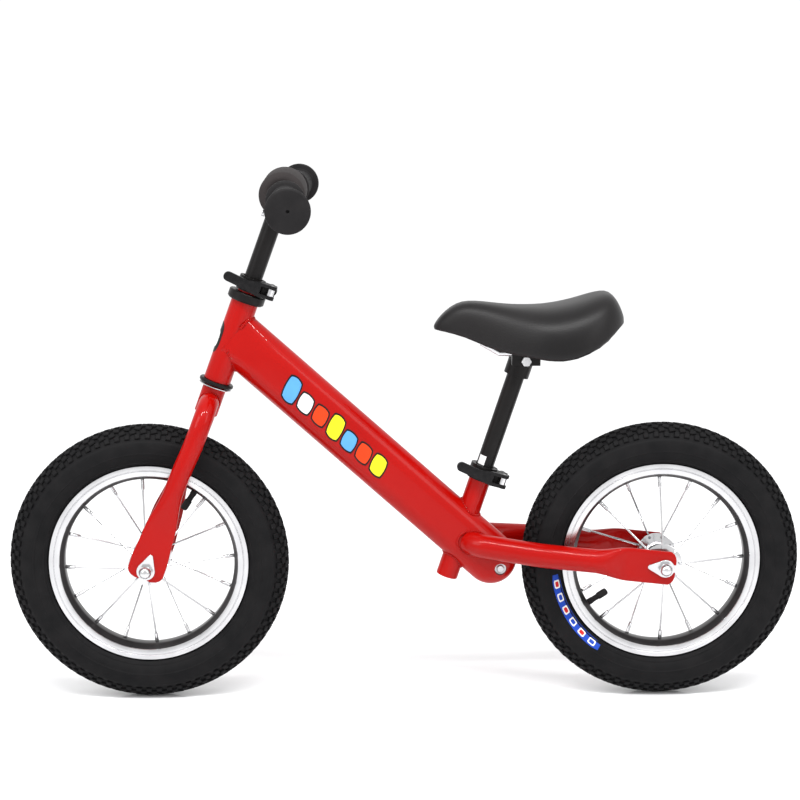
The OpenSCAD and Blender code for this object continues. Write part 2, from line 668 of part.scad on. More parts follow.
// ---- Wheels ----
rim_r = tyre_r - tyre_h;
well_r = rim_r - rim_side_h - 5;
flange_r = hub_flange_d / 2;
flange_y = hub_flange_gap / 2;
hub_end = flange_y + 5;
bead_r = rim_r - 6;
rim_lip = 2;            // thickness of the rim's side walls
module tyre(at) {
    color(rubber_black) across(at) rotate_extrude() difference() {
        union() {
            intersection() {
                translate([tyre_r - tyre_w / 2, 0]) circle(d = tyre_w);
                translate([bead_r, -tyre_w]) square([tyre_r, 2 * tyre_w]);
            }
            translate([bead_r, -rim_w / 2 + 2.5]) square([14, rim_w - 5]);
        }
        translate([tyre_r - tyre_w / 2, 0]) circle(d = tyre_w - 8);
        translate([bead_r - cut, -rim_w / 2 + 6]) square([20, rim_w - 12]);
        for (side = [0, 1]) mirror([0, side]) translate([bead_r - cut, rim_w / 2 - rim_lip - 0.1])
            square([rim_r + 0.2 - bead_r + cut, tyre_w]);
    }
}
module inner_tube(at) {
    color(black) across(at) rotate_extrude() difference() {
        translate([tyre_r - tyre_w / 2, 0]) circle(d = tyre_w - 8.6);
        translate([tyre_r - tyre_w / 2, 0]) circle(d = tyre_w - 11);
    }
}
module rim(at, valve_angle) {
    half = rim_w / 2;
    color(chrome) difference() {
        across(at) rotate_extrude() polygon([[rim_r, half], [rim_r - rim_side_h, half], [well_r + 1.5, half * 0.55],
            [well_r, half * 0.45], [well_r, -half * 0.45], [well_r + 1.5, -half * 0.55],
            [rim_r - rim_side_h, -half], [rim_r, -half], [rim_r, -half + rim_lip], [rim_r - rim_side_h + 1, -half + rim_lip],
            [well_r + 3, -half * 0.4], [well_r + 3, half * 0.4],
            [rim_r - rim_side_h + 1, half - rim_lip], [rim_r, half - rim_lip]]);
        across(at) rotate([0, 0, valve_angle]) rotate([0, 90, 0]) cylinder(d = valve_cap_d + 0.2, h = rim_r);
    }
}
module hub(at, spoke_angle) {
    barrel_r = hub_barrel_d / 2;
    race_r = axle_d / 2 + 5.6;
    hub_bore = axle_d / 2 + 1.5;
    color(chrome) difference() {
        across(at) rotate_extrude() for (side = [0, 1]) mirror([0, side]) difference() {
            polygon([[hub_bore, 0], [barrel_r, 0], [barrel_r, flange_y - 9], [race_r + 2.2, flange_y - 5],
                [race_r + 2.2, flange_y - 1.3], [flange_r, flange_y - 1.3], [flange_r, flange_y + 1.3],
                [race_r + 2.2, flange_y + 1.3], [race_r + 2.2, hub_end], [hub_bore, hub_end]]);
            translate([hub_bore - cut, flange_y - 3]) square([race_r - hub_bore + cut, hub_end]);
        }
        for (i = [0:spoke_count - 1]) across(at) rotate([0, 0, spoke_turn(i, spoke_angle)])
            translate([flange_r - 2.8, 0, spoke_side(i) * flange_y - 3]) cylinder(d = spoke_d + 0.4, h = 6);
    }
}
function spoke_side(i) = i % 2 == 0 ? 1 : -1;
function spoke_turn(i, start) = start + i * 360 / spoke_count;
rim_hole_y = 2.5;
spoke_out = flange_y + 1.3 + spoke_d / 2 + 1;   // a spoke's start, outside its flange
module spoke_frame(at, start, i) {
    // local x runs from the hub flange to the rim along spoke i
    side = spoke_side(i);
    from = [flange_r - 2.8, 0, side * spoke_out];
    to = [well_r, 0, side * rim_hole_y];
    across(at) rotate([0, 0, spoke_turn(i, start)]) translate(from)
        rotate([0, atan2(from[2] - to[2], to[0] - from[0]), 0]) children();
}
spoke_run = norm([well_r - flange_r + 2.8, spoke_out - rim_hole_y]);
module spokes(at, start) {
    color(chrome) for (i = [0:spoke_count - 1]) {
        spoke_frame(at, start, i) rotate([0, 90, 0]) cylinder(d = spoke_d, h = spoke_run - 1);
        across(at) rotate([0, 0, spoke_turn(i, start)]) {
            side = spoke_side(i);
            translate([flange_r - 2.8, 0, side * (flange_y - 2.6 + spoke_out) / 2])
                cylinder(d = spoke_d, h = spoke_out - flange_y + 2.6, center = true);
            translate([flange_r - 2.8, 0, side * (flange_y - 1.9)]) cylinder(d = spoke_d + 1.6, h = 1, center = true);
        }
    }
}
module nipples(at, start) {
    color(chrome) for (i = [0:spoke_count - 1]) spoke_frame(at, start, i)
        translate([spoke_run - nipple_len - 0.5, 0, 0]) rotate([0, 90, 0]) tube(spoke_d / 2 + 1, spoke_d / 2, nipple_len);
}
valve_cap_d = 8;
valve_cap_h = 12;
module valve(at, angle) {
    color(rubber_black) across(at) rotate([0, 0, angle]) rotate([0, 90, 0]) {
        translate([0, 0, well_r - valve_len + valve_cap_h - 2]) cylinder(d = valve_cap_d - 1, h = valve_len);
        translate([0, 0, well_r - valve_len]) cylinder(d = valve_cap_d, h = valve_cap_h);
    }
}
module axle(at) { color(chrome) across(at) cylinder(d = axle_d, h = 2 * dropout_y + 30, center = true); }
cone_back = 2.2;        // inner face of a cone outside its flange
cone_wall = 4.9;
cone_h = 7;
cone_nose_h = 4;
hub_ball_r = 2.2;
hub_ball_count = 9;
module cones(at) {
    color(chrome) both_sides() across([at[0], -flange_y - cone_back, at[2]]) {
        tube(axle_d / 2 + cone_wall, axle_d / 2, cone_h);
        translate([0, 0, -cone_nose_h]) tube(axle_d / 2 + 0.7, axle_d / 2, cone_nose_h + cut / 2);
    }
}
module lock_nuts(at) {
    low = flange_y + cone_back + cone_h;
    color(chrome) both_sides() across([at[0], -low, at[2]]) difference() {
        cylinder(d = nut_flats / cos(30), h = dropout_y - low, $fn = 6);
        translate([0, 0, -cut]) cylinder(d = axle_d, h = dropout_y);
    }
}
module hub_balls(at) {
    ring = axle_d / 2 + hub_ball_r + 0.9;
    color(chrome) both_sides() across([at[0], -flange_y - cone_back + hub_ball_r + gap, at[2]])
        for (i = [0:hub_ball_count - 1]) rotate([0, 0, i * 360 / hub_ball_count])
            translate([ring, 0, 0]) sphere(r = hub_ball_r);
}
module tab_washers(at, turn) {
    tip = 16.5;         // middle of the tab's round tip from the axle
    tip_r = 2.5;
    body_r = 9.6;
    spread = acos((body_r - tip_r) / tip);
    color(chrome) both_sides() across([at[0], -dropout_y - flat_end_t, at[2]]) rotate([0, 0, turn])
        difference() {
            linear_extrude(tab_washer_t) union() {
                circle(r = body_r);
                translate([tip, 0]) circle(r = tip_r);
                polygon([for (side = [-1, 1], end = side < 0 ? [0, 1] : [1, 0])
                    [end * tip + (end ? tip_r : body_r) * cos(spread),
                        side * (end ? tip_r : body_r) * sin(spread)]]);
            }
            translate([0, 0, -cut]) cylinder(d = axle_d, h = 5 * tab_washer_t);
        }
}
module axle_nuts(at) {
    seat = dropout_y + flat_end_t + tab_washer_t;
    color(chrome) both_sides() across([at[0], -seat, at[2]]) difference() {
        union() {
            cylinder(d = nut_flats / cos(30), h = 6, $fn = 6);
            translate([0, 0, 6]) intersection() {
                translate([0, 0, -1]) sphere(d = nut_flats);
                cylinder(d = nut_flats, h = nut_flats);
            }
        }
        translate([0, 0, -cut]) cylinder(d = axle_d, h = dropout_y + 15 - seat + cut);
    }
}
front_spoke_start = 3.8;
rear_spoke_start = 1.4;
front_valve_angle = 57;
rear_valve_angle = 213;

module front_tyre() { tyre(front_hub); }
module front_inner_tube() { inner_tube(front_hub); }
module front_rim() { rim(front_hub, front_valve_angle); }
module front_hub() { hub(front_hub, front_spoke_start); }
module front_spokes() { spokes(front_hub, front_spoke_start); }
module front_nipples() { nipples(front_hub, front_spoke_start); }
module front_valve() { valve(front_hub, front_valve_angle); }
module rear_tyre() { tyre(rear_hub); }
module rear_inner_tube() { inner_tube(rear_hub); }
module rear_rim() { rim(rear_hub, rear_valve_angle); }
module rear_hub() { hub(rear_hub, rear_spoke_start); }
module rear_wheel_spokes() {
    spokes(rear_hub, rear_spoke_start);
    nipples(rear_hub, rear_spoke_start);
    valve(rear_hub, rear_valve_angle);
}
module rear_axle() { axle(rear_hub); }
module rear_cones() { cones(rear_hub); }
module rear_lock_nuts() { lock_nuts(rear_hub); }
module rear_hub_balls() { hub_balls(rear_hub); }
module rear_tab_washers() { tab_washers(rear_hub, 180 - stay_fall); }
module rear_axle_nuts() { axle_nuts(rear_hub); }
module front_axle() { axle(front_hub); }
module front_cones() { cones(front_hub); }
module front_lock_nuts() { lock_nuts(front_hub); }
module front_hub_balls() { hub_balls(front_hub); }
module front_tab_washers() { tab_washers(front_hub, 90 - steer_lean); }
module front_axle_nuts() { axle_nuts(front_hub); }

head_tube();
main_tube();
seat_tube();
chain_stay_left();
chain_stay_right();
nose_bolt();
headset_upper_cup();
headset_lower_cup();
headset_balls();
seat_collar();
seat_skewer();
seat_skewer_nut();
seat_lever_barrel();
seat_clamp_lever();
rear_axle();
rear_cones();
rear_lock_nuts();
rear_hub_balls();
rear_tab_washers();
rear_axle_nuts();
steerer();
fork_blade_left();
fork_blade_right();
crown_race();
headset_top_nut();
stem_collar();
stem_skewer();
stem_skewer_nut();
stem_lever_barrel();
stem_clamp_lever();
front_axle();
front_cones();
front_lock_nuts();
front_hub_balls();
front_tab_washers();
front_axle_nuts();
stem();
handlebar_tube();
handlebar_sleeve();
sleeve_screw();
grip_left();
grip_right();
seat_post();
rail_clamp();
rail_clamp_bolt();
saddle_rails();
saddle_base();
saddle();
front_tyre();
front_inner_tube();
front_rim();
front_hub();
front_spokes();
front_nipples();
front_valve();
rear_tyre();
rear_inner_tube();
rear_rim();
rear_hub();
rear_wheel_spokes();
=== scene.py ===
import json
from math import cos, pi, radians, sin, sqrt

import bmesh
import bpy
from mathutils import Matrix, Vector


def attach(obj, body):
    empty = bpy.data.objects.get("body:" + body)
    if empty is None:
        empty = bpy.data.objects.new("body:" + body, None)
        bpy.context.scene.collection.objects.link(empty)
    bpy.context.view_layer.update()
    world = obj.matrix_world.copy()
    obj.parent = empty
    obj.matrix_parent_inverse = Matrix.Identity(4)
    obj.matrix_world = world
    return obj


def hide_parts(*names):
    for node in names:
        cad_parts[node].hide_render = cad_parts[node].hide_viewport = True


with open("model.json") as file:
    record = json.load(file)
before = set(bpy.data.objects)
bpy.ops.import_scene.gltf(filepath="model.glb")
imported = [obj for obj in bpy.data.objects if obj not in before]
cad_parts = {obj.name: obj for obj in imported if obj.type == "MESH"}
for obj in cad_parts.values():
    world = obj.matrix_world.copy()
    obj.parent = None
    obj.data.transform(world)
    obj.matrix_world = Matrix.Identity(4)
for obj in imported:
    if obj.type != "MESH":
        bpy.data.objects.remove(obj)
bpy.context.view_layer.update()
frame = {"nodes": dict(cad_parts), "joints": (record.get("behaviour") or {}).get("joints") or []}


# ---- Studio ----
# A sweep of pale glossy board under soft boxes, with a white room round it.
# The bike stands on the board at z = 0, seen from its left side through a long lens.
class Value:
    """One output of a node, with arithmetic that adds Math nodes to its material."""

    def __init__(self, finish, socket):
        self.finish, self.socket = finish, socket

    def math(self, operation, *others):
        return self.finish.add("ShaderNodeMath", {"operation": operation}, [self, *others])

    def __add__(self, other):
        return self.math("ADD", other)

    def __sub__(self, other):
        return self.math("SUBTRACT", other)

    def __rsub__(self, other):
        return self.finish.add("ShaderNodeMath", {"operation": "SUBTRACT"}, [other, self])

    def __mul__(self, other):
        return self.math("MULTIPLY", other)

    __radd__ = __add__
    __rmul__ = __mul__


class Finish:
    """A material on one Principled shader: constants on its sockets, and what varies fed from nodes."""

    def __init__(self, name, **constants):
        self.material = bpy.data.materials.new(name)
        self.material.use_nodes = True
        self.tree = self.material.node_tree
        self.shader = self.tree.nodes["Principled BSDF"]
        for socket, value in constants.items():
            self.shader.inputs[socket.replace("_", " ")].default_value = value

    def add(self, kind, settings=None, inputs=(), output=0):
        node = self.tree.nodes.new(kind)
        for key, value in (settings or {}).items():
            setattr(node, key, value)
        pairs = inputs.items() if isinstance(inputs, dict) else enumerate(inputs)
        for key, value in pairs:
            if isinstance(value, Value):
                self.tree.links.new(value.socket, node.inputs[key])
            else:
                node.inputs[key].default_value = value
        return Value(self, node.outputs[output])

    def feed(self, socket, value):
        self.tree.links.new(value.socket, self.shader.inputs[socket])

    def noise(self, scale, detail=2.0, stretch=(1, 1, 1)):
        where = self.add("ShaderNodeTexCoord", output="Object")
        where = self.add("ShaderNodeMapping", None, {"Vector": where, "Scale": stretch})
        return self.add("ShaderNodeTexNoise", None, {"Vector": where, "Scale": scale, "Detail": detail})

    def spread(self, value, low, high, to_low, to_high):
        return self.add("ShaderNodeMapRange", None, [value, low, high, to_low, to_high])

    def tint(self, factor, first, second):
        """Base Color goes from the first colour to the second as the factor goes from 0 to 1."""
        self.feed("Base Color", self.add("ShaderNodeMix", {"data_type": "RGBA"},
                                         {0: factor, 6: (*first, 1), 7: (*second, 1)}, 2))

    def mottle(self, value, first, second, high=0.7):
        """Base Color drifts between two near colours with a noise."""
        self.tint(self.spread(value, 0.3, high, 0, 1), first, second)

    def bump(self, height, distance, strength=1.0):
        self.feed("Normal", self.add("ShaderNodeBump", None,
                                     {"Height": height, "Distance": distance, "Strength": strength}))


def to_object(name, build, finish, sharp=35):
    """An object at the origin from a bmesh; faces are smooth but for edges over the sharp angle."""
    mesh = bpy.data.meshes.new(name)
    bmesh.ops.recalc_face_normals(build, faces=build.faces)
    build.to_mesh(mesh)
    build.free()
    mesh.shade_smooth()
    mesh.set_sharp_from_angle(angle=radians(sharp))
    mesh.materials.append(finish.material)
    made = bpy.data.objects.new(name, mesh)
    bpy.context.scene.collection.objects.link(made)
    return made


def piece(name, build, finish, body, slot, *nodes, sharp=35):
    """A piece of the bike from a bmesh in metres: it rides on a body and stands for CAD nodes."""
    made = to_object(name, build, finish, sharp)
    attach(made, body)
    if nodes:
        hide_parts(*nodes)
    return made


board = Finish("pale_board", Base_Color=(0.90, 0.90, 0.91, 1))
board.feed("Roughness", board.spread(board.noise(2.5), 0.3, 0.7, 0.10, 0.16))
build = bmesh.new()
bmesh.ops.create_grid(build, x_segments=4, y_segments=4, size=12)
to_object("studio_floor", build, board)

world = bpy.data.worlds.new("white_room")
bpy.context.scene.world = world
world.use_nodes = True
world.node_tree.nodes["Background"].inputs["Color"].default_value = (1, 1, 1, 1)
world.node_tree.nodes["Background"].inputs["Strength"].default_value = 1.06

for name, place, turn, size, power in (
        ("soft_box_top", (0.1, -1.0, 2.1), (28, 0, 0), (2.6, 0.07), 52),
        ("soft_box_left", (-2.0, -1.4, 1.8), (58, 0, -55), (1.2, 1.6), 22),
        ("soft_box_right", (2.2, -1.8, 1.6), (60, 0, 50), (1.0, 1.6), 14)):
    lamp = bpy.data.lights.new(name, "AREA")
    lamp.shape = "RECTANGLE"
    lamp.size, lamp.size_y = size
    lamp.energy = power
    soft_box = bpy.data.objects.new(name, lamp)
    soft_box.location = place
    soft_box.rotation_euler = [radians(a) for a in turn]
    bpy.context.scene.collection.objects.link(soft_box)

lens = bpy.data.cameras.new("long_lens")
lens.lens = 90.06
lens.sensor_width = 36
LOOK_DOWN, LOOK_LEFT = 10.11, -1.2
camera = bpy.data.objects.new("camera", lens)
camera.location = (-0.0497, -2.1007, 0.6993)
camera.rotation_euler = (radians(90 - LOOK_DOWN), 0, radians(LOOK_LEFT))
bpy.context.scene.collection.objects.link(camera)
bpy.context.scene.camera = camera
bpy.context.scene.view_settings.view_transform = "Standard"


# ---- Head tube, main tube and seat tube ----
# Steel tubes brazed and welded into one frame, then sprayed gloss red under a clear coat.
# The main tube is a flat-sided oval, closed by a round nose with a bolt through a dished hole.
# Lengths are in millimetres from here on; a frame of axes brings them to metres.
MM = 0.001
LEAN, SEAT_LEAN, FALL = radians(20), radians(18.4), radians(41.75)
FRONT_HUB = Vector([j["pos_m"] for j in frame["joints"] if j["name"] == "front_wheel_spin"][0]) / MM
REAR_HUB = Vector([j["pos_m"] for j in frame["joints"] if j["name"] == "rear_wheel_spin"][0]) / MM
RAKE = 3.5


def axes(origin, ahead, up):
    """A frame in millimetres: local x along ahead, local z near up."""
    x = Vector(ahead).normalized()
    y = Vector(up).cross(x).normalized()
    z = x.cross(y)
    turned = Matrix((x, y, z)).transposed().to_4x4()
    return Matrix.Scale(MM, 4) @ Matrix.Translation(origin) @ turned


STEER_FOOT = FRONT_HUB + Vector((RAKE * cos(LEAN), 0, -RAKE * sin(LEAN)))
UP_STEER = Vector((sin(LEAN), 0, cos(LEAN)))
HEAD_LOW, HEAD_TOP, HEAD_BORE, HEAD_R = 210.5, 300.5, 12.7, 14.5
STEER = axes(STEER_FOOT, (cos(LEAN), 0, -sin(LEAN)), UP_STEER)
MAIN_TOP = STEER_FOOT + UP_STEER * (HEAD_TOP - 37.5)
DOWN_MAIN = Vector((cos(FALL), 0, -sin(FALL)))
MAIN = axes(MAIN_TOP, DOWN_MAIN, (0, 0, 1))
MAIN_LEN, MAIN_HALF_H, MAIN_HALF_W, MAIN_TOP_HALF_W = 368, 28, 19, 14.9
MAIN_FLAT = MAIN_HALF_H - MAIN_HALF_W
NOSE_BOLT_X = MAIN_LEN + 13
SEAT_FOOT = MAIN_TOP + DOWN_MAIN * (MAIN_LEN - 42.6)
SEAT = axes(SEAT_FOOT, (cos(SEAT_LEAN), 0, -sin(SEAT_LEAN)), (sin(SEAT_LEAN), 0, cos(SEAT_LEAN)))
SEAT_LOW, SEAT_TOP, SEAT_BORE, SEAT_R = -50, 76, 9.7, 11.75
TUBE_STEPS = 80


def chain(build, points, closed=False):
    """A loose edge chain through the points, ready to be spun or extruded."""
    row = [build.verts.new(p) for p in points]
    pairs = list(zip(row, row[1:])) + ([(row[-1], row[0])] if closed else [])
    return row + [build.edges.new(pair) for pair in pairs]


def vertex_row(build, points, closed=False):
    """The vertices of a new chain, to be joined to the next row."""
    return [v for v in chain(build, points, closed) if isinstance(v, bmesh.types.BMVert)]


def bridge_rows(build, rows):
    """Faces between each row of vertices and the next."""
    for one, two in zip(rows, rows[1:]):
        edges = [e for row in (one, two) for v in row for e in v.link_edges if e.other_vert(v) in row]
        bmesh.ops.bridge_loops(build, edges=list(dict.fromkeys(edges)))


def spun(build, profile, where, steps=64, closed=False):
    """Adds a surface of revolution: profile is (radius, height) about local z of the frame."""
    before = set(build.verts)
    parts = chain(build, [(r, 0, h) for r, h in profile], closed)
    bmesh.ops.spin(build, geom=parts, cent=(0, 0, 0), axis=(0, 0, 1), angle=2 * pi, steps=steps,
                   use_merge=True)
    made = [v for v in build.verts if v not in before]
    bmesh.ops.remove_doubles(build, verts=made, dist=0.001)
    made = [v for v in build.verts if v not in before]
    bmesh.ops.transform(build, matrix=where, verts=made)
    return made


def swept(build, rings, sides=40):
    """Adds a closed tube through rings of (frame, half width, half height, squareness)."""
    loops = []
    for where, half_w, half_h, square in rings:
        row = bmesh.ops.create_circle(build, segments=sides, radius=1)["verts"]
        for v in row:
            v.co = (abs(v.co.x) ** square * half_w * (1 if v.co.x > 0 else -1),
                    abs(v.co.y) ** square * half_h * (1 if v.co.y > 0 else -1), 0)
        bmesh.ops.transform(build, matrix=where, verts=row)
        loops.append(row)
    bridge_rows(build, loops)
    for row in (loops[0], loops[-1]):
        build.faces.new(row)


WELD_PITCH = 0.42


def weld_bead(name, path, width, body, slot):
    """A weld: short overlapping scales along a path of (point, outward) in metres."""
    build = bmesh.new()
    run = 0.0
    for (a, out_a), (b, _) in zip(path, path[1:]):
        run += (b - a).length
        if run < width * WELD_PITCH * MM:
            continue
        run = 0.0
        scale = bmesh.ops.create_icosphere(build, subdivisions=1, radius=width / 2 * MM)["verts"]
        turned = axes((0, 0, 0), (b - a), out_a).to_3x3().normalized()
        bmesh.ops.scale(build, vec=(0.62, 1, 0.55), verts=scale)
        bmesh.ops.transform(build, matrix=Matrix.Translation(a) @ turned.to_4x4(), verts=scale)
    piece(name, build, red_paint, body, slot, sharp=80)


red_paint = Finish("gloss_red_paint", Roughness=0.32, Coat_Weight=0.24, Coat_Roughness=0.03,
                   Specular_IOR_Level=0.06)
red_paint.mottle(red_paint.noise(9, 3), (0.30, 0.0014, 0.0005), (0.35, 0.002, 0.0007))
red_paint.bump(red_paint.noise(420, 1), 0.00004, 0.6)


def stadium(half_w, half_h, x=0.0, steps=32):
    """Half a flat-sided oval section, from the near side over the top to the far side."""
    rise = half_h - half_w
    turns = [pi * k / steps for k in range(steps + 1)]
    arc = [(x, -half_w * cos(turn), rise + half_w * sin(turn)) for turn in turns]
    return [(x, -half_w, 0), *arc, (x, half_w, 0)]


def carve(made, cutter):
    """Cuts a bmesh in metres out of a piece and keeps the result as its mesh."""
    tool = bpy.data.objects.new("cutter", bpy.data.meshes.new("cutter"))
    bmesh.ops.recalc_face_normals(cutter, faces=cutter.faces)
    cutter.to_mesh(tool.data)
    cutter.free()
    bpy.context.scene.collection.objects.link(tool)
    cut = made.modifiers.new("cut", "BOOLEAN")
    cut.operation, cut.object, cut.solver = "DIFFERENCE", tool, "EXACT"
    graph = bpy.context.evaluated_depsgraph_get()
    mesh = bpy.data.meshes.new_from_object(made.evaluated_get(graph))
    made.modifiers.remove(cut)
    made.data = mesh
    mesh.shade_smooth()
    mesh.set_sharp_from_angle(angle=radians(35))
    bpy.data.objects.remove(tool)


def soften(made, width, angle=30):
    """Rounds a piece's sharp edges by a width in millimetres."""
    edge = made.modifiers.new("soft_edges", "BEVEL")
    edge.width, edge.segments = width * MM, 2
    edge.limit_method, edge.angle_limit = "ANGLE", radians(angle)
    edge.harden_normals = True


def rod(where, radius, low, high, steps=48):
    """A bmesh holding a plain round bar along local z, to cut with."""
    cutter = bmesh.new()
    spun(cutter, [(0, low), (radius, low), (radius, high), (0, high)], where, steps)
    return cutter


NOSE_BOLT = MAIN @ Matrix.Translation((NOSE_BOLT_X, 0, 0)) @ Matrix.Rotation(pi / 2, 4, "X")
build = bmesh.new()
nose = chain(build, [(x - MAIN_LEN, y, z) for x, y, z in stadium(MAIN_HALF_W, MAIN_HALF_H, MAIN_LEN)])
bmesh.ops.spin(build, geom=nose, cent=(0, 0, 0), axis=(0, 1, 0), angle=pi, steps=32)
bmesh.ops.translate(build, vec=(MAIN_LEN, 0, 0), verts=build.verts)
rows = []
for x, half_w in [(x, MAIN_HALF_W) for x in (MAIN_LEN, MAIN_LEN - 60, 200, 100, 46)] + [
        (34, 18.6), (20, 17.3), (8, 15.6), (1, MAIN_TOP_HALF_W)]:
    top = stadium(half_w, MAIN_HALF_H, x)
    rows.append(vertex_row(build, top + [(x, y, -z) for x, y, z in top[-2:0:-1]], True))
bridge_rows(build, rows)
build.faces.new(rows[-1])
bmesh.ops.remove_doubles(build, verts=build.verts, dist=0.01)
bmesh.ops.transform(build, matrix=MAIN, verts=build.verts)
main_tube = piece("main_tube_oval", build, red_paint, "frame", "red_paint", "main_tube")
for side in (-1, 1):
    carve(main_tube, rod(NOSE_BOLT, 6.5, *sorted((side * 13, side * 22))))
carve(main_tube, rod(STEER, HEAD_R - 0.2, HEAD_LOW - 30, HEAD_TOP + 30, 96))
carve(main_tube, rod(SEAT, SEAT_R - 0.15, SEAT_LOW - 30, SEAT_TOP + 14, TUBE_STEPS))
soften(main_tube, 0.5)

build = bmesh.new()
spun(build, [(HEAD_BORE, HEAD_LOW + 0.5), (HEAD_BORE + 0.5, HEAD_LOW), (HEAD_R - 0.5, HEAD_LOW),
             (HEAD_R, HEAD_LOW + 0.5), (HEAD_R, HEAD_TOP - 0.5), (HEAD_R - 0.5, HEAD_TOP),
             (HEAD_BORE + 0.5, HEAD_TOP), (HEAD_BORE, HEAD_TOP - 0.5)], STEER, 96, True)
piece("head_tube_round", build, red_paint, "frame", "red_paint", "head_tube")
build = bmesh.new()
spun(build, [(SEAT_BORE, SEAT_LOW + 0.5), (SEAT_BORE + 0.4, SEAT_LOW), (SEAT_R - 0.45, SEAT_LOW),
             (SEAT_R, SEAT_LOW + 0.5), (SEAT_R, SEAT_TOP), (SEAT_BORE, SEAT_TOP)], SEAT, TUBE_STEPS, True)
piece("seat_tube_round", build, red_paint, "frame", "red_paint", "seat_tube")

bolt_steel = Finish("zinc_steel", Metallic=1.0)
scratch = bolt_steel.noise(160, 3, (1, 1, 0.2))
bolt_steel.mottle(scratch, (0.42, 0.42, 0.43), (0.60, 0.60, 0.61))
bolt_steel.feed("Roughness", bolt_steel.spread(scratch, 0.3, 0.7, 0.26, 0.40))
build = bmesh.new()
for side in (-1, 1):
    spun(build, [(0, side * 16.2), (3.4, side * 16.2), (4.2, side * 15.6), (4.2, side * 12)], NOSE_BOLT, 24)
    spun(build, [(6.1, side * 12.9), (6.1, side * 13.6), (4, side * 13.6)], NOSE_BOLT, 32)
piece("nose_bolt_head", build, bolt_steel, "frame", "steel", "nose_bolt")


# The welds are rows of scales where each tube meets the next.
def main_local(point):
    return MAIN.inverted() @ point


def flank(z):
    """The main tube's half width at a height from its middle."""
    past_flat = max(0, abs(z) - MAIN_FLAT)
    return sqrt(max(0, MAIN_HALF_W ** 2 - past_flat ** 2))


head_path = []
HEAD_WELD = MAIN_TOP_HALF_W + 0.4
for k in range(97):
    turn = 2 * pi * k / 96
    y, z = HEAD_WELD * cos(turn), HEAD_WELD * sin(turn)
    z += (MAIN_HALF_H - HEAD_WELD) * (1 if sin(turn) > 0 else -1)
    reach = sqrt(max(0, (HEAD_R + 0.2) ** 2 - y * y))
    steer_x = (STEER.inverted() @ (MAIN @ Vector((0, y, z)))).x
    slide = (reach - steer_x) / (DOWN_MAIN.x * cos(LEAN) - DOWN_MAIN.z * sin(LEAN))
    head_path.append((MAIN @ Vector((max(slide, 1), y, z)), Vector((0, y, z))))
weld_bead("weld_head_tube", [(p, MAIN.to_3x3() @ out) for p, out in head_path], 4.2, "frame", "red_paint")
for side, name in ((1, "top"), (-1, "bottom")):
    path = []
    for k in range(65):
        turn = 2 * pi * k / 64
        base = SEAT @ Vector(((SEAT_R + 0.35) * cos(turn), (SEAT_R + 0.35) * sin(turn), 0))
        local = main_local(base)
        climb = (main_local(base + SEAT.to_3x3() @ Vector((0, 0, 1))) - local).z
        want = side * (MAIN_FLAT + sqrt(MAIN_HALF_W ** 2 - local.y ** 2) + 0.4)
        path.append((base + SEAT.to_3x3() @ Vector((0, 0, (want - local.z) / climb)),
                     SEAT.to_3x3() @ Vector((cos(turn), sin(turn), side))))
    weld_bead("weld_seat_tube_" + name, path, 4.0, "frame", "red_paint")


# ---- Decals and head badge ----
# A row of printed vinyl shapes with dark outlines on each side of the main tube, and a small badge
# in front. They are plain rounded shapes in sky blue, white, yellow and orange, stuck on the paint.
DECAL_PITCH, DECAL_HALF_W, DECAL_SLANT = 20.4, 8.1, -0.25


def film(name, colour):
    vinyl = Finish(name, Roughness=0.34, Specular_IOR_Level=0.12)
    vinyl.mottle(vinyl.noise(70), colour, [c * 0.9 for c in colour])
    return vinyl


inks = {name: film(ink, colour) for name, ink, colour in (
    ("outline", "dark_ink", (0.012, 0.010, 0.010)), ("sky", "sky_ink", (0.10, 0.33, 0.72)),
    ("white", "white_ink", (0.78, 0.78, 0.76)), ("yellow", "yellow_ink", (0.80, 0.68, 0.02)),
    ("orange", "orange_ink", (0.72, 0.05, 0.01)))}


def rounded(u, v, squareness=0.62):
    """A point of a square grid from -1 to 1, drawn in towards a rounded shape."""
    return u * sqrt(1 - squareness * v * v / 2), v * sqrt(1 - squareness * u * u / 2)


def side_film(name, ink, side, middle, half_w, half_h, lift):
    """A rounded film on the side of the main tube, following its surface."""
    build = bmesh.new()
    for v in bmesh.ops.create_grid(build, x_segments=8, y_segments=14, size=1)["verts"]:
        u, w = rounded(v.co.x, v.co.y)
        z = middle[1] + half_h * w
        v.co = (middle[0] + half_w * u + DECAL_SLANT * half_h * w, side * (flank(z) + lift), z)
    bmesh.ops.transform(build, matrix=MAIN, verts=build.verts)
    piece(name, build, ink, "frame", "red_paint")


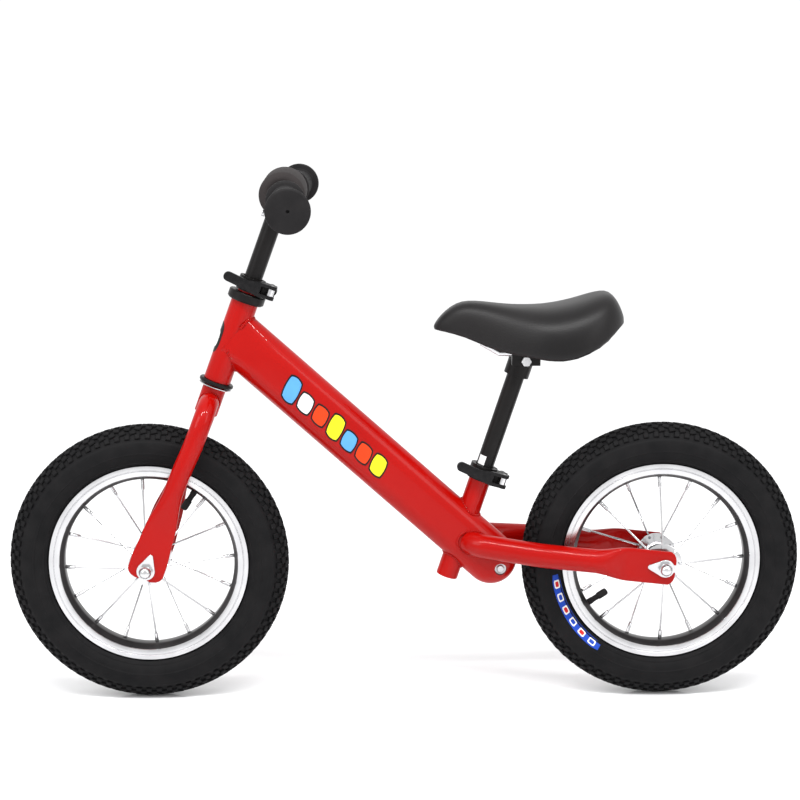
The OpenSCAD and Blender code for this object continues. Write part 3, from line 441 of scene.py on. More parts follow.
for side, name in ((-1, "left"), (1, "right")):
    for k, (ink, tall, bob) in enumerate((
            ("sky", 13, 0), ("white", 9, -1.5), ("orange", 9, -1), ("yellow", 12, 0.5),
            ("sky", 9, -1.5), ("orange", 9, -1), ("yellow", 10, -0.5))):
        middle = (84 + DECAL_PITCH * k, bob - 1)
        side_film(f"decal_edge_{k}_{name}", inks["outline"], side, middle, DECAL_HALF_W + 1.7, tall + 1.8, 0.08)
        side_film(f"decal_{k}_{name}", inks[ink], side, middle, DECAL_HALF_W, tall, 0.18)
for name, ink, columns, lines, lift, half_turn, middle, half_h in (
        ("head_badge_outline", "outline", 10, 14, 0.16, 44, 256, 17),
        ("head_badge_field", "white", 8, 10, 0.24, 26, 254, 9)):
    build = bmesh.new()
    for v in bmesh.ops.create_grid(build, x_segments=columns, y_segments=lines, size=1)["verts"]:
        turn = pi + v.co.x * radians(half_turn) * sqrt(max(0, 1 - 0.75 * v.co.y ** 4))
        v.co = ((HEAD_R + lift) * cos(turn), (HEAD_R + lift) * sin(turn), middle + half_h * v.co.y)
    bmesh.ops.transform(build, matrix=STEER, verts=build.verts)
    piece(name, build, inks[ink], "frame", "red_paint")


# ---- Chain stays ----
# Two round steel tubes welded to the main tube's sides; they bend back past the tyre, and each
# is pressed flat at the end into an upright plate with an open slot for the rear axle.
STAY_FOOT = MAIN_TOP + DOWN_MAIN * (MAIN_LEN - 32)
STAY_RUN = (REAR_HUB - STAY_FOOT).length
STAY = axes(STAY_FOOT, REAR_HUB - STAY_FOOT, (0, 0, 1))
STAY_R, STAY_Y, FLAT_Y, FLAT_HALF, FLAT_SQUARE = 12.7, 44.0, 43.3, 2.3, 0.35
SPREAD, SPREAD_START = radians(14), radians(61)
BEND_IN, BEND_OUT, BEND_X, BEND_Y = 28, 90, -2, 2.7
SLOT_HALF = 4.3


def eased(t):
    return t * t * (3 - 2 * t)


def flattened(radius, plate_half, share):
    """Half thickness, half height and squareness of a round tube pressed part of the way to a plate."""
    return (radius + (FLAT_HALF - radius) * share, radius + (plate_half - radius) * share,
            1 - (1 - FLAT_SQUARE) * share)


def ring_at(base, centre, side_dir, up_dir):
    """A frame inside another: local x and y along two directions."""
    x, y = Vector(side_dir).normalized(), Vector(up_dir).normalized()
    turned = Matrix((x, y, x.cross(y))).transposed().to_4x4()
    return base @ Matrix.Translation(centre) @ turned


def stay_ring(side, x, y, heading, half_t=STAY_R, half_h=STAY_R, square=1.0):
    return (ring_at(STAY, (x, side * y, 0), (-sin(heading), side * cos(heading), 0), (0, 0, 1)),
            half_t, half_h, square)


def stay_rings(side):
    """Rings from the main tube: out in a tight bend, back in a wide one, then pressed flat."""
    spread_x, spread_y = BEND_X + BEND_IN * (1 - sin(SPREAD)), BEND_Y + BEND_IN * cos(SPREAD)
    spread_len = (STAY_Y - BEND_OUT * (1 - cos(SPREAD)) - spread_y) / sin(SPREAD)
    end_x = spread_x + spread_len * cos(SPREAD) + BEND_OUT * sin(SPREAD)
    rings = []
    for k in range(13):
        h = SPREAD_START + (SPREAD - SPREAD_START) * k / 12
        rings.append(stay_ring(side, BEND_X + BEND_IN * (1 - sin(h)), BEND_Y + BEND_IN * cos(h), h))
    for k in range(7):
        h = SPREAD * (1 - k / 6)
        rings.append(stay_ring(side, end_x - BEND_OUT * sin(h), STAY_Y - BEND_OUT * (1 - cos(h)), h))
    pinch, plate, plate_half = STAY_RUN - 76, STAY_RUN - 38, 18
    for k in range(13):
        t = k / 12
        e = eased(t)
        rings.append(stay_ring(side, pinch + t * (plate - pinch), STAY_Y + (FLAT_Y - STAY_Y) * e, 0,
                               *flattened(STAY_R, plate_half, e)))
    for x, half_h in ((5, plate_half), (8, 16), (10, 13), (11, 9.5)):
        rings.append(stay_ring(side, STAY_RUN + x, FLAT_Y, 0, FLAT_HALF, half_h, FLAT_SQUARE))
    return rings


def axle_slot(made, side, hub, where, size, middle):
    """Cuts an end plate's open slot: a round bottom about the axle and a box out through the edge."""
    across = axes(hub, (1, 0, 0), (0, 0, 1)) @ Matrix.Rotation(pi / 2, 4, "X")
    carve(made, rod(across, SLOT_HALF, *sorted((-side * 38, -side * 50)), 32))
    cutter = bmesh.new()
    bmesh.ops.create_cube(cutter, size=1)
    bmesh.ops.scale(cutter, vec=size, verts=cutter.verts)
    bmesh.ops.translate(cutter, vec=middle, verts=cutter.verts)
    bmesh.ops.transform(cutter, matrix=where, verts=cutter.verts)
    carve(made, cutter)


for side, name in ((-1, "left"), (1, "right")):
    build = bmesh.new()
    swept(build, stay_rings(side), 48)
    stay = piece("chain_stay_tube_" + name, build, red_paint, "frame", "red_paint", "chain_stay_" + name)
    axle_slot(stay, side, REAR_HUB, STAY, (16, 14, 2 * SLOT_HALF), (STAY_RUN + 8, side * 44, 0))
    soften(stay, 0.5)
    path = []
    for k in range(49):
        turn = 2 * pi * k / 48
        local = main_local(STAY @ Vector((3.2 + 16.4 * cos(turn), side * MAIN_HALF_W, 13.2 * sin(turn))))
        path.append((MAIN @ Vector((local.x, side * flank(local.z), local.z)), Vector((0, side, 0))))
    weld_bead("weld_stay_" + name, path, 3.8, "frame", "red_paint")


# ---- Fork ----
# A steel steerer tube runs through the head tube. Two bent tubes are welded to its lower end, one on
# each side, and pressed flat into slotted ends. All of it is painted with the frame.
BLADE_R, BLADE_Y, BLADE_TOP, BLADE_BEND = 10.5, 40.0, 187.0, 28
PINCH_TOP, CROWN_R, STEERER_BORE, STEERER_R = 92, 12.5, 9.7, 11.1


def blade_ring(side, s, y, heading=0.0, p=0.0, half_t=BLADE_R, half_w=BLADE_R, square=1.0):
    """A section at s up the steering axis, y out from it and p ahead of it."""
    return (ring_at(STEER, (p, side * y, s), (0, side * cos(heading), sin(heading)), (-1, 0, 0)),
            half_t, half_w, square)


def blade_rings(side):
    """Rings from the steerer: out and down in a bend, straight down, then pressed flat."""
    bend, inner, low = BLADE_BEND, BLADE_Y - BLADE_BEND, BLADE_TOP - BLADE_BEND
    rings = [blade_ring(side, BLADE_TOP, 4, pi / 2)]
    for k in range(13):
        h = pi / 2 * (1 - k / 12)
        rings.append(blade_ring(side, low + bend * sin(h), inner + bend * cos(h), h))
    for k in range(1, 5):
        rings.append(blade_ring(side, low + (PINCH_TOP - low) * k / 4, BLADE_Y, 0, -RAKE * eased(k / 4)))
    for k in range(1, 13):
        e = eased(k / 12)
        rings.append(blade_ring(side, PINCH_TOP - 54 * k / 12, BLADE_Y + (FLAT_Y - BLADE_Y) * e, 0, -RAKE,
                                *flattened(BLADE_R, 17, e)))
    for s, half_w in ((14, 19.5), (-2, 19.5), (-6, 17.5), (-8.6, 14), (-9.8, 10)):
        rings.append(blade_ring(side, s, FLAT_Y, 0, -RAKE, FLAT_HALF, half_w, FLAT_SQUARE))
    return rings


for side, name in ((-1, "left"), (1, "right")):
    build = bmesh.new()
    swept(build, blade_rings(side), 48)
    blade = piece("fork_blade_tube_" + name, build, red_paint, "fork", "red_paint", "fork_blade_" + name)
    axle_slot(blade, side, FRONT_HUB, STEER, (2 * SLOT_HALF, 14, 16), (-RAKE, side * 44, -8))
    soften(blade, 0.5)
    path = []
    for k in range(41):
        turn = 2 * pi * k / 40
        p, s = (BLADE_R + 0.4) * cos(turn), BLADE_TOP + (BLADE_R + 0.4) * sin(turn)
        path.append((STEER @ Vector((p, side * sqrt((CROWN_R + 0.1) ** 2 - p * p), s)), Vector((0, side, 0))))
    weld_bead("weld_crown_" + name, path, 3.2, "fork", "red_paint")
build = bmesh.new()
spun(build, [(STEERER_BORE, 174), (STEERER_BORE + 0.4, 173.5), (CROWN_R - 0.5, 173.5), (CROWN_R, 174),
             (CROWN_R, 202.6), (STEERER_R, 203.4), (STEERER_R, 325.4), (STEERER_R - 0.4, 325.9),
             (STEERER_BORE, 325.9)], STEER, TUBE_STEPS, True)
piece("steerer_round", build, red_paint, "fork", "red_paint", "steerer")


# ---- Headset ----
# Two pressed steel cups with loose balls: a black upper cup under a cover nut on top of the head
# tube, a black lower cup, and a bright race on the crown that shows as a thin line.
CUP_R, CUP_BORE = 18.5, 11.7
satin_black = Finish("satin_black_paint", Roughness=0.34, Specular_IOR_Level=0.15)
satin_black.mottle(satin_black.noise(40, 3), (0.004, 0.0035, 0.0035), (0.008, 0.007, 0.007))
satin_black.bump(satin_black.noise(700, 2), 0.00004, 0.5)
chrome_plate = Finish("chrome_plate", Metallic=1.0)
haze = chrome_plate.noise(30, 3)
chrome_plate.mottle(haze, (0.50, 0.50, 0.51), (0.64, 0.64, 0.65))
chrome_plate.feed("Roughness", chrome_plate.spread(haze, 0.3, 0.7, 0.13, 0.24))


def pressed(name, profile, where, finish, body, slot, *nodes):
    """A turned or pressed part of closed profile."""
    build = bmesh.new()
    spun(build, profile, where, TUBE_STEPS, True)
    piece(name, build, finish, body, slot, *nodes)


def fillet_box(low_r, high_r, low, high, edge):
    """A ring's section with its outer corners cut by an edge width."""
    return [(low_r, low), (high_r - edge, low), (high_r, low + edge), (high_r, high - edge),
            (high_r - edge, high), (low_r, high)]


pressed("upper_cup", fillet_box(CUP_BORE, CUP_R, HEAD_TOP, HEAD_TOP + 3.9, 0.5), STEER, satin_black, "frame",
        "black_paint", "headset_upper_cup", "headset_balls")
pressed("cover_nut", [(11.2, 304.9), (18.9, 304.9), (18.9, 301.8), (19.4, 301.7), (19.8, 302.1), (19.8, 309.3),
                      (19.1, 310.2), (17.5, 310.5), (11.2, 310.5)],
        STEER, satin_black, "fork", "black_paint", "headset_top_nut")
pressed("lower_cup", fillet_box(CUP_BORE, CUP_R, HEAD_LOW - 3.9, HEAD_LOW, 0.9), STEER, satin_black, "frame",
        "black_paint", "headset_lower_cup")
pressed("crown_race_ring", fillet_box(STEERER_R, 17.8, 204.0, 205.2, 0.3), STEER, chrome_plate, "fork",
        "chrome_steel", "crown_race")


# ---- Quick clamps ----
# A split aluminium collar, closed by a steel skewer through its ears. A moulded black lever with
# a forked end turns on a chromed barrel; a round nut holds the far side.
lever_black = Finish("moulded_black", Roughness=0.38, Specular_IOR_Level=0.15)
grain = lever_black.noise(260, 2)
lever_black.mottle(grain, (0.004, 0.004, 0.0045), (0.009, 0.0085, 0.009))
lever_black.bump(grain, 0.00005, 0.5)


def rounded_copy(name, nodes, finish, body, slot, width, angle=30):
    """The CAD shape of some nodes as one mesh, with doubles merged and its sharp edges rounded."""
    build = bmesh.new()
    for node in nodes:
        build.from_mesh(frame["nodes"][node].data)
    bmesh.ops.remove_doubles(build, verts=build.verts, dist=1e-5)
    bmesh.ops.dissolve_limit(build, angle_limit=radians(1), verts=build.verts, edges=build.edges)
    soften(piece(name, build, finish, body, slot, *nodes), width, angle)


for tube, body in (("seat", "frame"), ("stem", "fork")):
    rounded_copy(tube + "_clamp_band", [tube + "_collar"], satin_black, body, "black_paint", 0.5)
    rounded_copy(tube + "_clamp_skewer", [tube + "_skewer"], bolt_steel, body, "steel", 0.3)
    rounded_copy(tube + "_clamp_nut", [tube + "_skewer_nut"], lever_black, body, "black_paint", 0.8)
    rounded_copy(tube + "_clamp_barrel", [tube + "_lever_barrel"], chrome_plate, body, "chrome_steel", 0.4)
    rounded_copy(tube + "_clamp_handle", [tube + "_clamp_lever"], lever_black, tube + "_lever",
                 "lever_plastic", 0.9)


# ---- Stem and handlebar ----
# A straight black steel tube is clamped in the steerer and welded under a black steel bar whose halves
# sweep back slightly. A thick foam sleeve with rounded ends is drawn over the middle.
BAR_S, BAR_HALF, BAR_R, SWEEP = 422.5, 200.0, 11.1, radians(3.4)
POST_BORE, POST_R = 7.9, 9.5
SLEEVE_R, SLEEVE_HALF, SLEEVE_ROUND = 24, 50, 7


def bar_half(side):
    """The frame of one half of the bar: local z runs outward, local x to the rear."""
    out = Vector((sin(SWEEP), side * cos(SWEEP), 0))
    x = Vector((cos(SWEEP), -side * sin(SWEEP), 0))
    return ring_at(STEER, (0, 0, BAR_S), x, out.cross(x))


def post_profile(low, high):
    """A tube's section with its lower outer edge cut."""
    return [(POST_BORE, low), (POST_R - 0.4, low), (POST_R, low + 0.4), (POST_R, high), (POST_BORE, high)]


pressed("stem_post", post_profile(251, BAR_S - 4), STEER, satin_black, "handlebar", "black_paint", "stem")
build = bmesh.new()
for side in (-1, 1):
    spun(build, [(BAR_R, -0.7), (BAR_R, BAR_HALF - 3.2), (BAR_R - 0.3, BAR_HALF - 2.6),
                 (BAR_R - 1.5, BAR_HALF - 2.6)], bar_half(side), 64)
piece("bar_tube", build, satin_black, "handlebar", "black_paint", "handlebar_tube")

foam = Finish("dense_foam", Specular_IOR_Level=0.15)
pores = foam.noise(900, 3)
foam.mottle(foam.noise(18, 3), (0.018, 0.015, 0.015), (0.030, 0.026, 0.026))
foam.feed("Roughness", foam.spread(pores, 0.3, 0.7, 0.70, 0.88))
foam.bump(pores, 0.0002, 0.6)
build = bmesh.new()
across_bar = ring_at(STEER, (0, 0, BAR_S), (1, 0, 0), (0, 0, 1))
profile = [(BAR_R, 4 - SLEEVE_HALF), (14, 1 - SLEEVE_HALF)]
profile += [(SLEEVE_R - SLEEVE_ROUND * (1 - sin(radians(a))),
             SLEEVE_ROUND * (1 - cos(radians(a))) - SLEEVE_HALF) for a in range(0, 91, 15)]
profile = profile + [(r, -h) for r, h in profile[::-1]]
spun(build, profile, across_bar, 64)
piece("foam_sleeve", build, foam, "handlebar", "foam", "handlebar_sleeve")
rounded_copy("sleeve_screw_head", ["sleeve_screw"], bolt_steel, "handlebar", "steel", 0.3)


# ---- Grips ----
# Soft rubber grips moulded in one piece with a wide round flange at the outer end, a narrow one at
# the inner end and shallow rings along the body. They are pushed onto the bar.
soft_rubber = Finish("soft_rubber", Specular_IOR_Level=0.12)
dust = soft_rubber.noise(50, 4)
soft_rubber.mottle(dust, (0.008, 0.0075, 0.008), (0.014, 0.013, 0.0135))
soft_rubber.feed("Roughness", soft_rubber.spread(dust, 0.2, 0.8, 0.52, 0.70))
soft_rubber.bump(soft_rubber.noise(800, 3), 0.0001, 0.5)

GRIP_LEN, GRIP_R, GROOVE_R, GROOVES, GROOVE_PITCH = 112, 15.5, 14.7, 15, 6.2
grip_low = BAR_HALF - GRIP_LEN
inner_flange = [(11.15, 1), (12, 0), (19, 0), (20, 1), (20, 4), (19, 5), (16.5, 5.6), (GRIP_R, 7)]
outer_flange = [(GRIP_R, 9.4), (17, 8), (21, 7.8), (22.1, 6.6), (22.25, 4), (22.1, 1.6), (21.2, 0.4), (20, 0),
                (12, 0.2), (2.2, 0.2), (1.6, 0.8), (1.6, 3), (0, 3)]
profile = [(r, grip_low + h) for r, h in inner_flange]
for k in range(GROOVES):
    low = grip_low + 9 + k * GROOVE_PITCH
    profile += [(GRIP_R, low), (GRIP_R, low + 3.9), (GROOVE_R, low + 4.5), (GROOVE_R, low + 5.6)]
profile += [(r, BAR_HALF - h) for r, h in outer_flange]
for side, name in ((-1, "left"), (1, "right")):
    build = bmesh.new()
    spun(build, profile, bar_half(side), 72)
    piece("grip_rubber_" + name, build, soft_rubber, "handlebar", "rubber", "grip_" + name)


# ---- Seat post and rail clamp ----
# A plain black steel post, held by the seat clamp, carries a two-part pressed clamp with a cross
# bolt. A small blank white label is stuck on the post just above the seat clamp.
pressed("seat_post_tube", post_profile(18, 193.8), SEAT, satin_black, "seat", "black_paint", "seat_post")
rounded_copy("rail_clamp_plates", ["rail_clamp"], satin_black, "seat", "black_paint", 0.8)
rounded_copy("rail_clamp_screw", ["rail_clamp_bolt"], bolt_steel, "seat", "steel", 0.4)
rounded_copy("saddle_rail_wires", ["saddle_rails"], chrome_plate, "seat", "chrome_steel", 0.3, 50)
build = bmesh.new()
patch = bmesh.ops.create_grid(build, x_segments=10, y_segments=4, size=1)["verts"]
for v in patch:
    turn = radians(-128) + v.co.x * radians(25)
    v.co = ((POST_R + 0.12) * cos(turn), (POST_R + 0.12) * sin(turn), SEAT_TOP + 8 + 5 * v.co.y)
bmesh.ops.transform(build, matrix=SEAT, verts=build.verts)
piece("post_label", build, film("blank_label", (0.80, 0.80, 0.80)), "seat", "black_paint")


# ---- Saddle ----
# A moulded plastic base carries a foam pad under a black synthetic leather cover, pulled tight over
# the crown and its upturned tail and stapled under the edge. It rests on two steel wires.
SADDLE_AT = SEAT @ Vector((0, 0, 208)) / MM
SADDLE_FRONT, SADDLE_LEN, SADDLE_HALF_W, SADDLE_H = -96.5, 201, 66, 56
# Each row, from the nose to the tail: its place along the saddle, and its half width, top and lower
# edge as shares of the saddle's own.
STATIONS = [
    (0.00, 0.08, 0.50, 0.42), (0.02, 0.17, 0.62, 0.41), (0.06, 0.25, 0.78, 0.37),
    (0.12, 0.33, 0.93, 0.30), (0.18, 0.385, 0.975, 0.22), (0.26, 0.46, 0.955, 0.08),
    (0.34, 0.56, 0.915, -0.01), (0.42, 0.69, 0.885, -0.06), (0.50, 0.83, 0.875, -0.09),
    (0.58, 0.94, 0.880, -0.13), (0.66, 0.99, 0.920, -0.145), (0.74, 0.985, 0.985, -0.09),
    (0.80, 0.945, 1.055, 0.00), (0.86, 0.86, 1.120, 0.10), (0.91, 0.75, 1.150, 0.23),
    (0.945, 0.63, 1.090, 0.36), (0.975, 0.50, 0.920, 0.50), (1.00, 0.28, 0.680, 0.58)
]


def saddle_row(place, half, top, low):
    """A cover section from the near lower edge over the crown to the far one."""
    x = SADDLE_AT.x + SADDLE_FRONT + place * SADDLE_LEN
    half, top, low = half * SADDLE_HALF_W, top * SADDLE_H, low * SADDLE_H
    row = []
    for k in range(33):
        turn = pi * k / 32
        side = -cos(turn)
        y = half * (abs(side) ** 0.62) * (1 if side > 0 else -1)
        z = low + (top - low) * sin(turn) ** 0.72
        row.append((x * MM, y * MM, (SADDLE_AT.z + z) * MM))
    return row


build = bmesh.new()
rows = [vertex_row(build, saddle_row(*station)) for station in STATIONS]
for one, two in zip(rows, rows[1:]):
    for k in range(len(one) - 1):
        build.faces.new((one[k], one[k + 1], two[k + 1], two[k]))
for row in (rows[0], rows[-1]):
    build.faces.new(row)
bmesh.ops.holes_fill(build, edges=[e for e in build.edges if e.is_boundary], sides=0)
underside = [f for f in build.faces if len(f.verts) > 40]
bmesh.ops.inset_region(build, faces=underside, thickness=5 * MM, depth=0, use_even_offset=True)
bmesh.ops.inset_region(build, faces=underside, thickness=1.5 * MM, depth=-7 * MM)

cover = Finish("synthetic_leather", Specular_IOR_Level=0.2, Sheen_Weight=0.02, Sheen_Roughness=0.4)
wear = cover.noise(14, 4)
cover.mottle(wear, (0.005, 0.0045, 0.0048), (0.009, 0.008, 0.0083))
cover.feed("Roughness", cover.spread(wear, 0.3, 0.7, 0.36, 0.46))
pebble = cover.add("ShaderNodeTexVoronoi", {"feature": "F1"},
                   {"Vector": cover.add("ShaderNodeTexCoord", output="Object"), "Scale": 620})
cover.bump(pebble, 0.00012, 0.5)
saddle = piece("saddle_pad", build, cover, "seat", "saddle_cover", "saddle", sharp=60)
smooth = saddle.modifiers.new("foam_roundness", "SUBSURF")
smooth.levels = smooth.render_levels = 1
rounded_copy("saddle_base_plate", ["saddle_base"], lever_black, "seat", "black_plastic", 0.5)


# ---- Axles ----
# Threaded steel axles with ball cones, lock nuts, a tabbed washer outside each slotted end and a
# domed chromed nut. Front and rear are alike but for the way the washers' tabs point.
for wheel, body in (("front", "fork"), ("rear", "frame")):
    rounded_copy(wheel + "_axle_rod", [wheel + "_axle"], bolt_steel, body, "steel", 0.4)
    rounded_copy(wheel + "_cone_pair", [wheel + "_cones", wheel + "_hub_balls"], bolt_steel, body, "steel",
                 0.2, 50)
    rounded_copy(wheel + "_lock_nut_pair", [wheel + "_lock_nuts"], bolt_steel, body, "steel", 0.3)
    rounded_copy(wheel + "_washer_pair", [wheel + "_tab_washers"], chrome_plate, body, "chrome_steel", 0.35)
    rounded_copy(wheel + "_dome_nuts", [wheel + "_axle_nuts"], chrome_plate, body, "chrome_steel", 0.35)


# ---- Rims and hubs ----
# Chromed steel rims with a bright side band, a groove and a dark inner well, and pressed steel
# hubs with two flanges. Each runs on its own axle.
well_black = Finish("rim_well", Roughness=0.28, Metallic=0.6)
well_black.mottle(well_black.noise(40), (0.020, 0.018, 0.019), (0.035, 0.032, 0.033))
RIM_R, RIM_HALF, WELL_R = 107, 15, 91
HUBS = {"front": FRONT_HUB, "rear": REAR_HUB}


def mirrored(profile):
    """The same profile on the other side of the wheel, in reverse order."""
    return [(r, -h) for r, h in profile[::-1]]


def wheel_frame(wheel):
    """Local z runs to the rider's left along the axle, local x to the rear."""
    return ring_at(Matrix.Scale(MM, 4), HUBS[wheel], (1, 0, 0), (0, 0, 1))


for wheel in HUBS:
    where = wheel_frame(wheel)
    side = [(RIM_R - drop, RIM_HALF - inset) for drop, inset in (
        (0, 0.8), (0.4, 0.1), (1.2, 0), (4.6, 0), (5, 0.4), (5.5, 0.4), (5.9, 0), (10.2, 0), (11, 0.3),
        (11.4, 1.4))]
    well = [side[-1], (WELL_R + 1.9, 8.6), (WELL_R + 0.5, 7.2), (WELL_R, 5)]
    bed = [(RIM_R, RIM_HALF - 0.8), (RIM_R, 13.1), (RIM_R - 10, 13), (WELL_R + 3, 6)]
    for name, profile, finish in (
            ("left_band", side, chrome_plate), ("right_band", [(r, -h) for r, h in side], chrome_plate),
            ("well", well + mirrored(well), well_black), ("bed", bed + mirrored(bed), chrome_plate)):
        build = bmesh.new()
        spun(build, profile, where, 144)
        piece(f"{wheel}_rim_{name}", build, finish, wheel + "_wheel", "chrome_steel",
              *([wheel + "_rim"] if name == "well" else []))
    build = bmesh.new()
    half = [(8, 0), (8, 16), (8.6, 17.6), (11.8, 20), (11.8, 23.3), (12.4, 23.7), (20.4, 23.7), (21, 24.1),
            (21, 25.9), (20.4, 26.3), (12.4, 26.3), (11.8, 26.8), (11.8, 29.6), (11.4, 30), (9.6, 30),
            (9.6, 27)]
    spun(build, mirrored(half) + half[1:], where, 72)
    piece(wheel + "_hub_shell", build, chrome_plate, wheel + "_wheel", "chrome_steel", wheel + "_hub")


# ---- Spokes, nipples and valves ----
# Sixteen straight steel spokes with a hooked head in the flange and a long bright nipple at the rim,
# laced by turns to the two flanges. A black rubber valve with a cap points inward between two.
SPOKES, SPOKE_R, SPOKE_OUT = 16, 18.2, 28.3
STARTS = {"front": radians(3.8), "rear": radians(1.4)}
VALVES = {"front": radians(57), "rear": radians(213)}
VALVE_REACH = 24


def spoke_axes(wheel, k):
    """The frame along spoke k, local z from its flange to the rim, its length, the wheel's frame
    turned to it, and its side."""
    side = 1 if k % 2 == 0 else -1
    flange = wheel_frame(wheel) @ Matrix.Rotation(STARTS[wheel] + k * 2 * pi / SPOKES, 4, "Z")
    spoke_foot = Vector((SPOKE_R, 0, side * SPOKE_OUT))
    run = Vector((WELL_R, 0, side * 2.5)) - spoke_foot
    return ring_at(flange, spoke_foot, (0, 1, 0), run.cross(Vector((0, 1, 0)))), run.length, flange, side


for wheel in HUBS:
    wires, caps = bmesh.new(), bmesh.new()
    for k in range(SPOKES):
        where, length, flange, side = spoke_axes(wheel, k)
        spun(wires, [(1, -0.6), (1, length - 11)], where, 10)
        head = flange @ Matrix.Translation((SPOKE_R, 0, 0))
        spun(wires, [(1, side * 22.6), (1, side * 28.4), (0, side * 29.2)], head, 10)
        spun(wires, [(0, side * 22.4), (1.7, side * 22.6), (1.7, side * 23.4)], head, 10)
        spun(caps, [(1.02, length - 12.4), (1.5, length - 12.2), (1.9, length - 11.4), (2, length - 6),
                    (2, length - 0.6), (1.4, length - 0.3)], where, 12)
    if wheel == "front":
        piece("front_spoke_wires", wires, chrome_plate, "front_wheel", "chrome_steel", "front_spokes")
        piece("front_spoke_nipples", caps, chrome_plate, "front_wheel", "chrome_steel", "front_nipples")
    else:
        piece("rear_spoke_wires", wires, chrome_plate, "rear_wheel", "chrome_steel", "rear_wheel_spokes")
        piece("rear_spoke_nipples", caps, chrome_plate, "rear_wheel", "chrome_steel")
    build = bmesh.new()
    toward = wheel_frame(wheel) @ Matrix.Rotation(VALVES[wheel], 4, "Z")
    valve = ring_at(toward, (0, 0, 0), (0, 1, 0), (0, 0, 1))
    spun(build, [(r, WELL_R - VALVE_REACH + h) for r, h in (
        (0, 0), (1.6, 0), (2.9, 0.4), (3.6, 1.4), (3.95, 3), (3.95, 11.2), (3.5, 11.8), (3.1, 12), (3.1, 18),
        (3.5, 20), (3.5, VALVE_REACH + 6))], valve, 28)
    piece(wheel + "_valve_stem", build, soft_rubber, wheel + "_wheel", "rubber",
          *(["front_valve"] if wheel == "front" else []))


# ---- Tyres ----
# Black knobby air tyres, moulded in one piece: smooth side walls with fine rings, and rows of small
# blocks over the crown. The rear one has a printed band of blue, white and red on its left wall.
tyre_rubber = Finish("tyre_rubber", Specular_IOR_Level=0.1)
dust = tyre_rubber.noise(60, 4)
tyre_rubber.mottle(dust, (0.0045, 0.0045, 0.005), (0.0095, 0.009, 0.0095), 0.75)
tyre_rubber.feed("Roughness", tyre_rubber.spread(dust, 0.2, 0.8, 0.55, 0.75))
tyre_rubber.bump(tyre_rubber.noise(900, 3), 0.00015, 0.5)
TYRE_MID, TYRE_WALL, TREAD_DIP, KNOB_ROOT, KNOB_PITCHES = 126.0, 24.0, 2.1, 1.2, 80
SKIN = TYRE_WALL - 0.5


def wall_radius(turn):
    """The skin's distance from the middle of the tyre's section, at an angle from its crown."""
    rise = min(max((abs(turn) - radians(56)) / radians(16), 0), 1)
    ring = 0.45 if any(abs(abs(turn) - radians(a)) < radians(1.3) for a in (100, 128)) else 0
    return SKIN - TREAD_DIP * (1 - eased(rise)) + ring


def tyre_block(build, turn, along, length, width, lean):
    """One block of tread: turn is across the crown, along is round the wheel."""
    before = set(build.verts)
    made = bmesh.ops.create_cube(build, size=1)["verts"]
    bmesh.ops.scale(build, vec=(TREAD_DIP + KNOB_ROOT, length, width), verts=made)
    top = [e for e in build.edges if all(v in made and v.co.x > 0 for v in e.verts)]
    bmesh.ops.bevel(build, geom=top, offset=0.7, offset_type="OFFSET", segments=1, profile=0.5,
                    affect="EDGES", material=-1)
    made = [v for v in build.verts if v not in before]
    out = TYRE_WALL - 0.3 - (TREAD_DIP + KNOB_ROOT) / 2
    seated = Matrix.Translation((TYRE_MID, 0, 0)) @ Matrix.Rotation(-turn, 4, "Y")
    seated = seated @ Matrix.Translation((out, 0, 0)) @ Matrix.Rotation(lean, 4, "X")
    bmesh.ops.transform(build, matrix=Matrix.Rotation(along, 4, "Z") @ seated, verts=made)


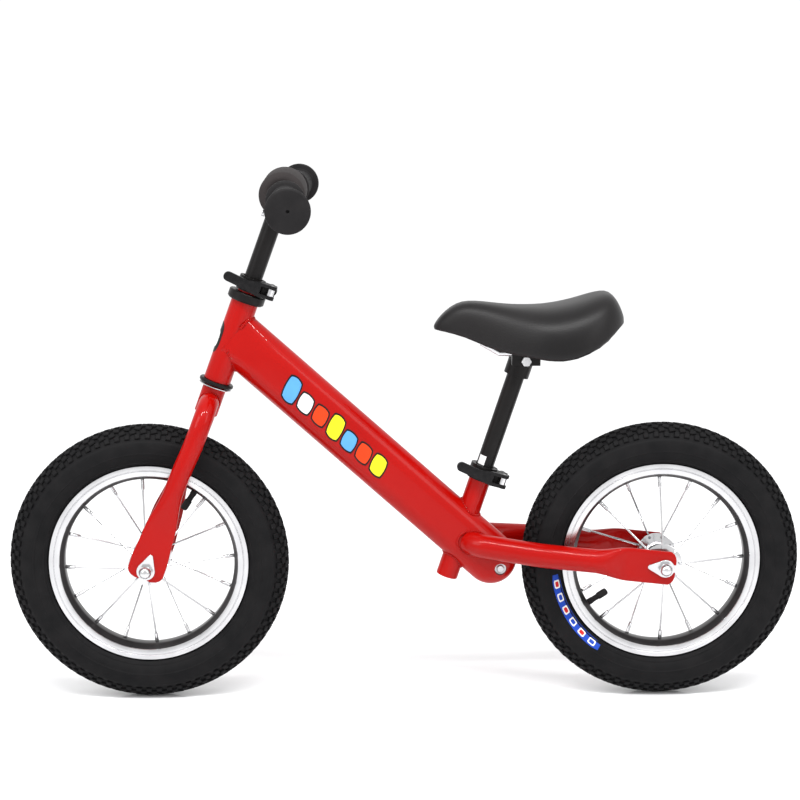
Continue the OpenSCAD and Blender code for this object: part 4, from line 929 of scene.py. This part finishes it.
for wheel in HUBS:
    build = bmesh.new()
    bead = [(101.5, 9.5), (101.5, 12.6), (107.6, 12.7), (108.4, 14.2)]
    profile = list(bead)
    for k in range(-66, 67):
        turn = radians(138) * k / 66
        radius = wall_radius(turn)
        profile.append((TYRE_MID + radius * cos(turn), -radius * sin(turn)))
    profile += mirrored(bead)
    spun(build, profile, Matrix.Identity(4), 144)
    blocks = bmesh.new()
    pitch = 2 * pi / KNOB_PITCHES
    for side in (-1, 1):
        tyre_block(blocks, side * radians(7), side * pitch * 0.25, 6.6, 4.9, side * 0.25)
        tyre_block(blocks, side * radians(22), -side * pitch * 0.22, 7.2, 5.4, -side * 0.3)
        tyre_block(blocks, side * radians(37), side * pitch * 0.25, 6.8, 5.2, side * 0.2)
        tyre_block(blocks, side * radians(52), -side * pitch * 0.2, 5.6, 5.6, 0)
    bmesh.ops.spin(blocks, geom=blocks.verts[:] + blocks.edges[:] + blocks.faces[:], cent=(0, 0, 0),
                   axis=(0, 0, 1), angle=2 * pi - pitch, steps=KNOB_PITCHES - 1, use_duplicate=True)
    for made, name in ((build, "casing"), (blocks, "tread")):
        bmesh.ops.transform(made, matrix=wheel_frame(wheel), verts=made.verts)
        piece(f"{wheel}_tyre_{name}", made, tyre_rubber, wheel + "_wheel", "tyre_rubber",
              *([wheel + "_tyre", wheel + "_inner_tube"] if name == "casing" else []))


def wall_print(name, ink, start, end, low, high, lift):
    """A printed arc on the rear tyre's left wall, between two angles and two radii."""
    build = bmesh.new()
    steps = max(2, int((end - start) * 1.5))
    patch = bmesh.ops.create_grid(build, x_segments=steps, y_segments=4, size=0.5)["verts"]
    for v in patch:
        turn, r = radians(start + (v.co.x + 0.5) * (end - start)), low + (v.co.y + 0.5) * (high - low)
        r -= 0.5 * (r - (low + high) / 2) * max(0, abs(v.co.x) - 0.42) * 6
        h = sqrt(SKIN ** 2 - (r - TYRE_MID) ** 2) + lift
        v.co = (r * cos(turn), r * sin(turn), h)
    bmesh.ops.transform(build, matrix=wheel_frame("rear"), verts=build.verts)
    piece(name, build, ink, "rear_wheel", "tyre_rubber")


blue = film("wall_blue", (0.015, 0.06, 0.42))
red = film("wall_red", (0.55, 0.02, 0.02))
wall_print("wall_band", blue, 186.5, 235, 110.5, 119.5, 0.08)
for k in range(6):
    start = 189.5 + 7.6 * k
    wall_print(f"wall_mark_{k}_edge", inks["white"], start, start + 4.6, 112, 118, 0.14)
    wall_print(f"wall_mark_{k}", red if k % 2 == 0 else blue, start + 0.8, start + 3.8, 113.2, 116.8, 0.2)
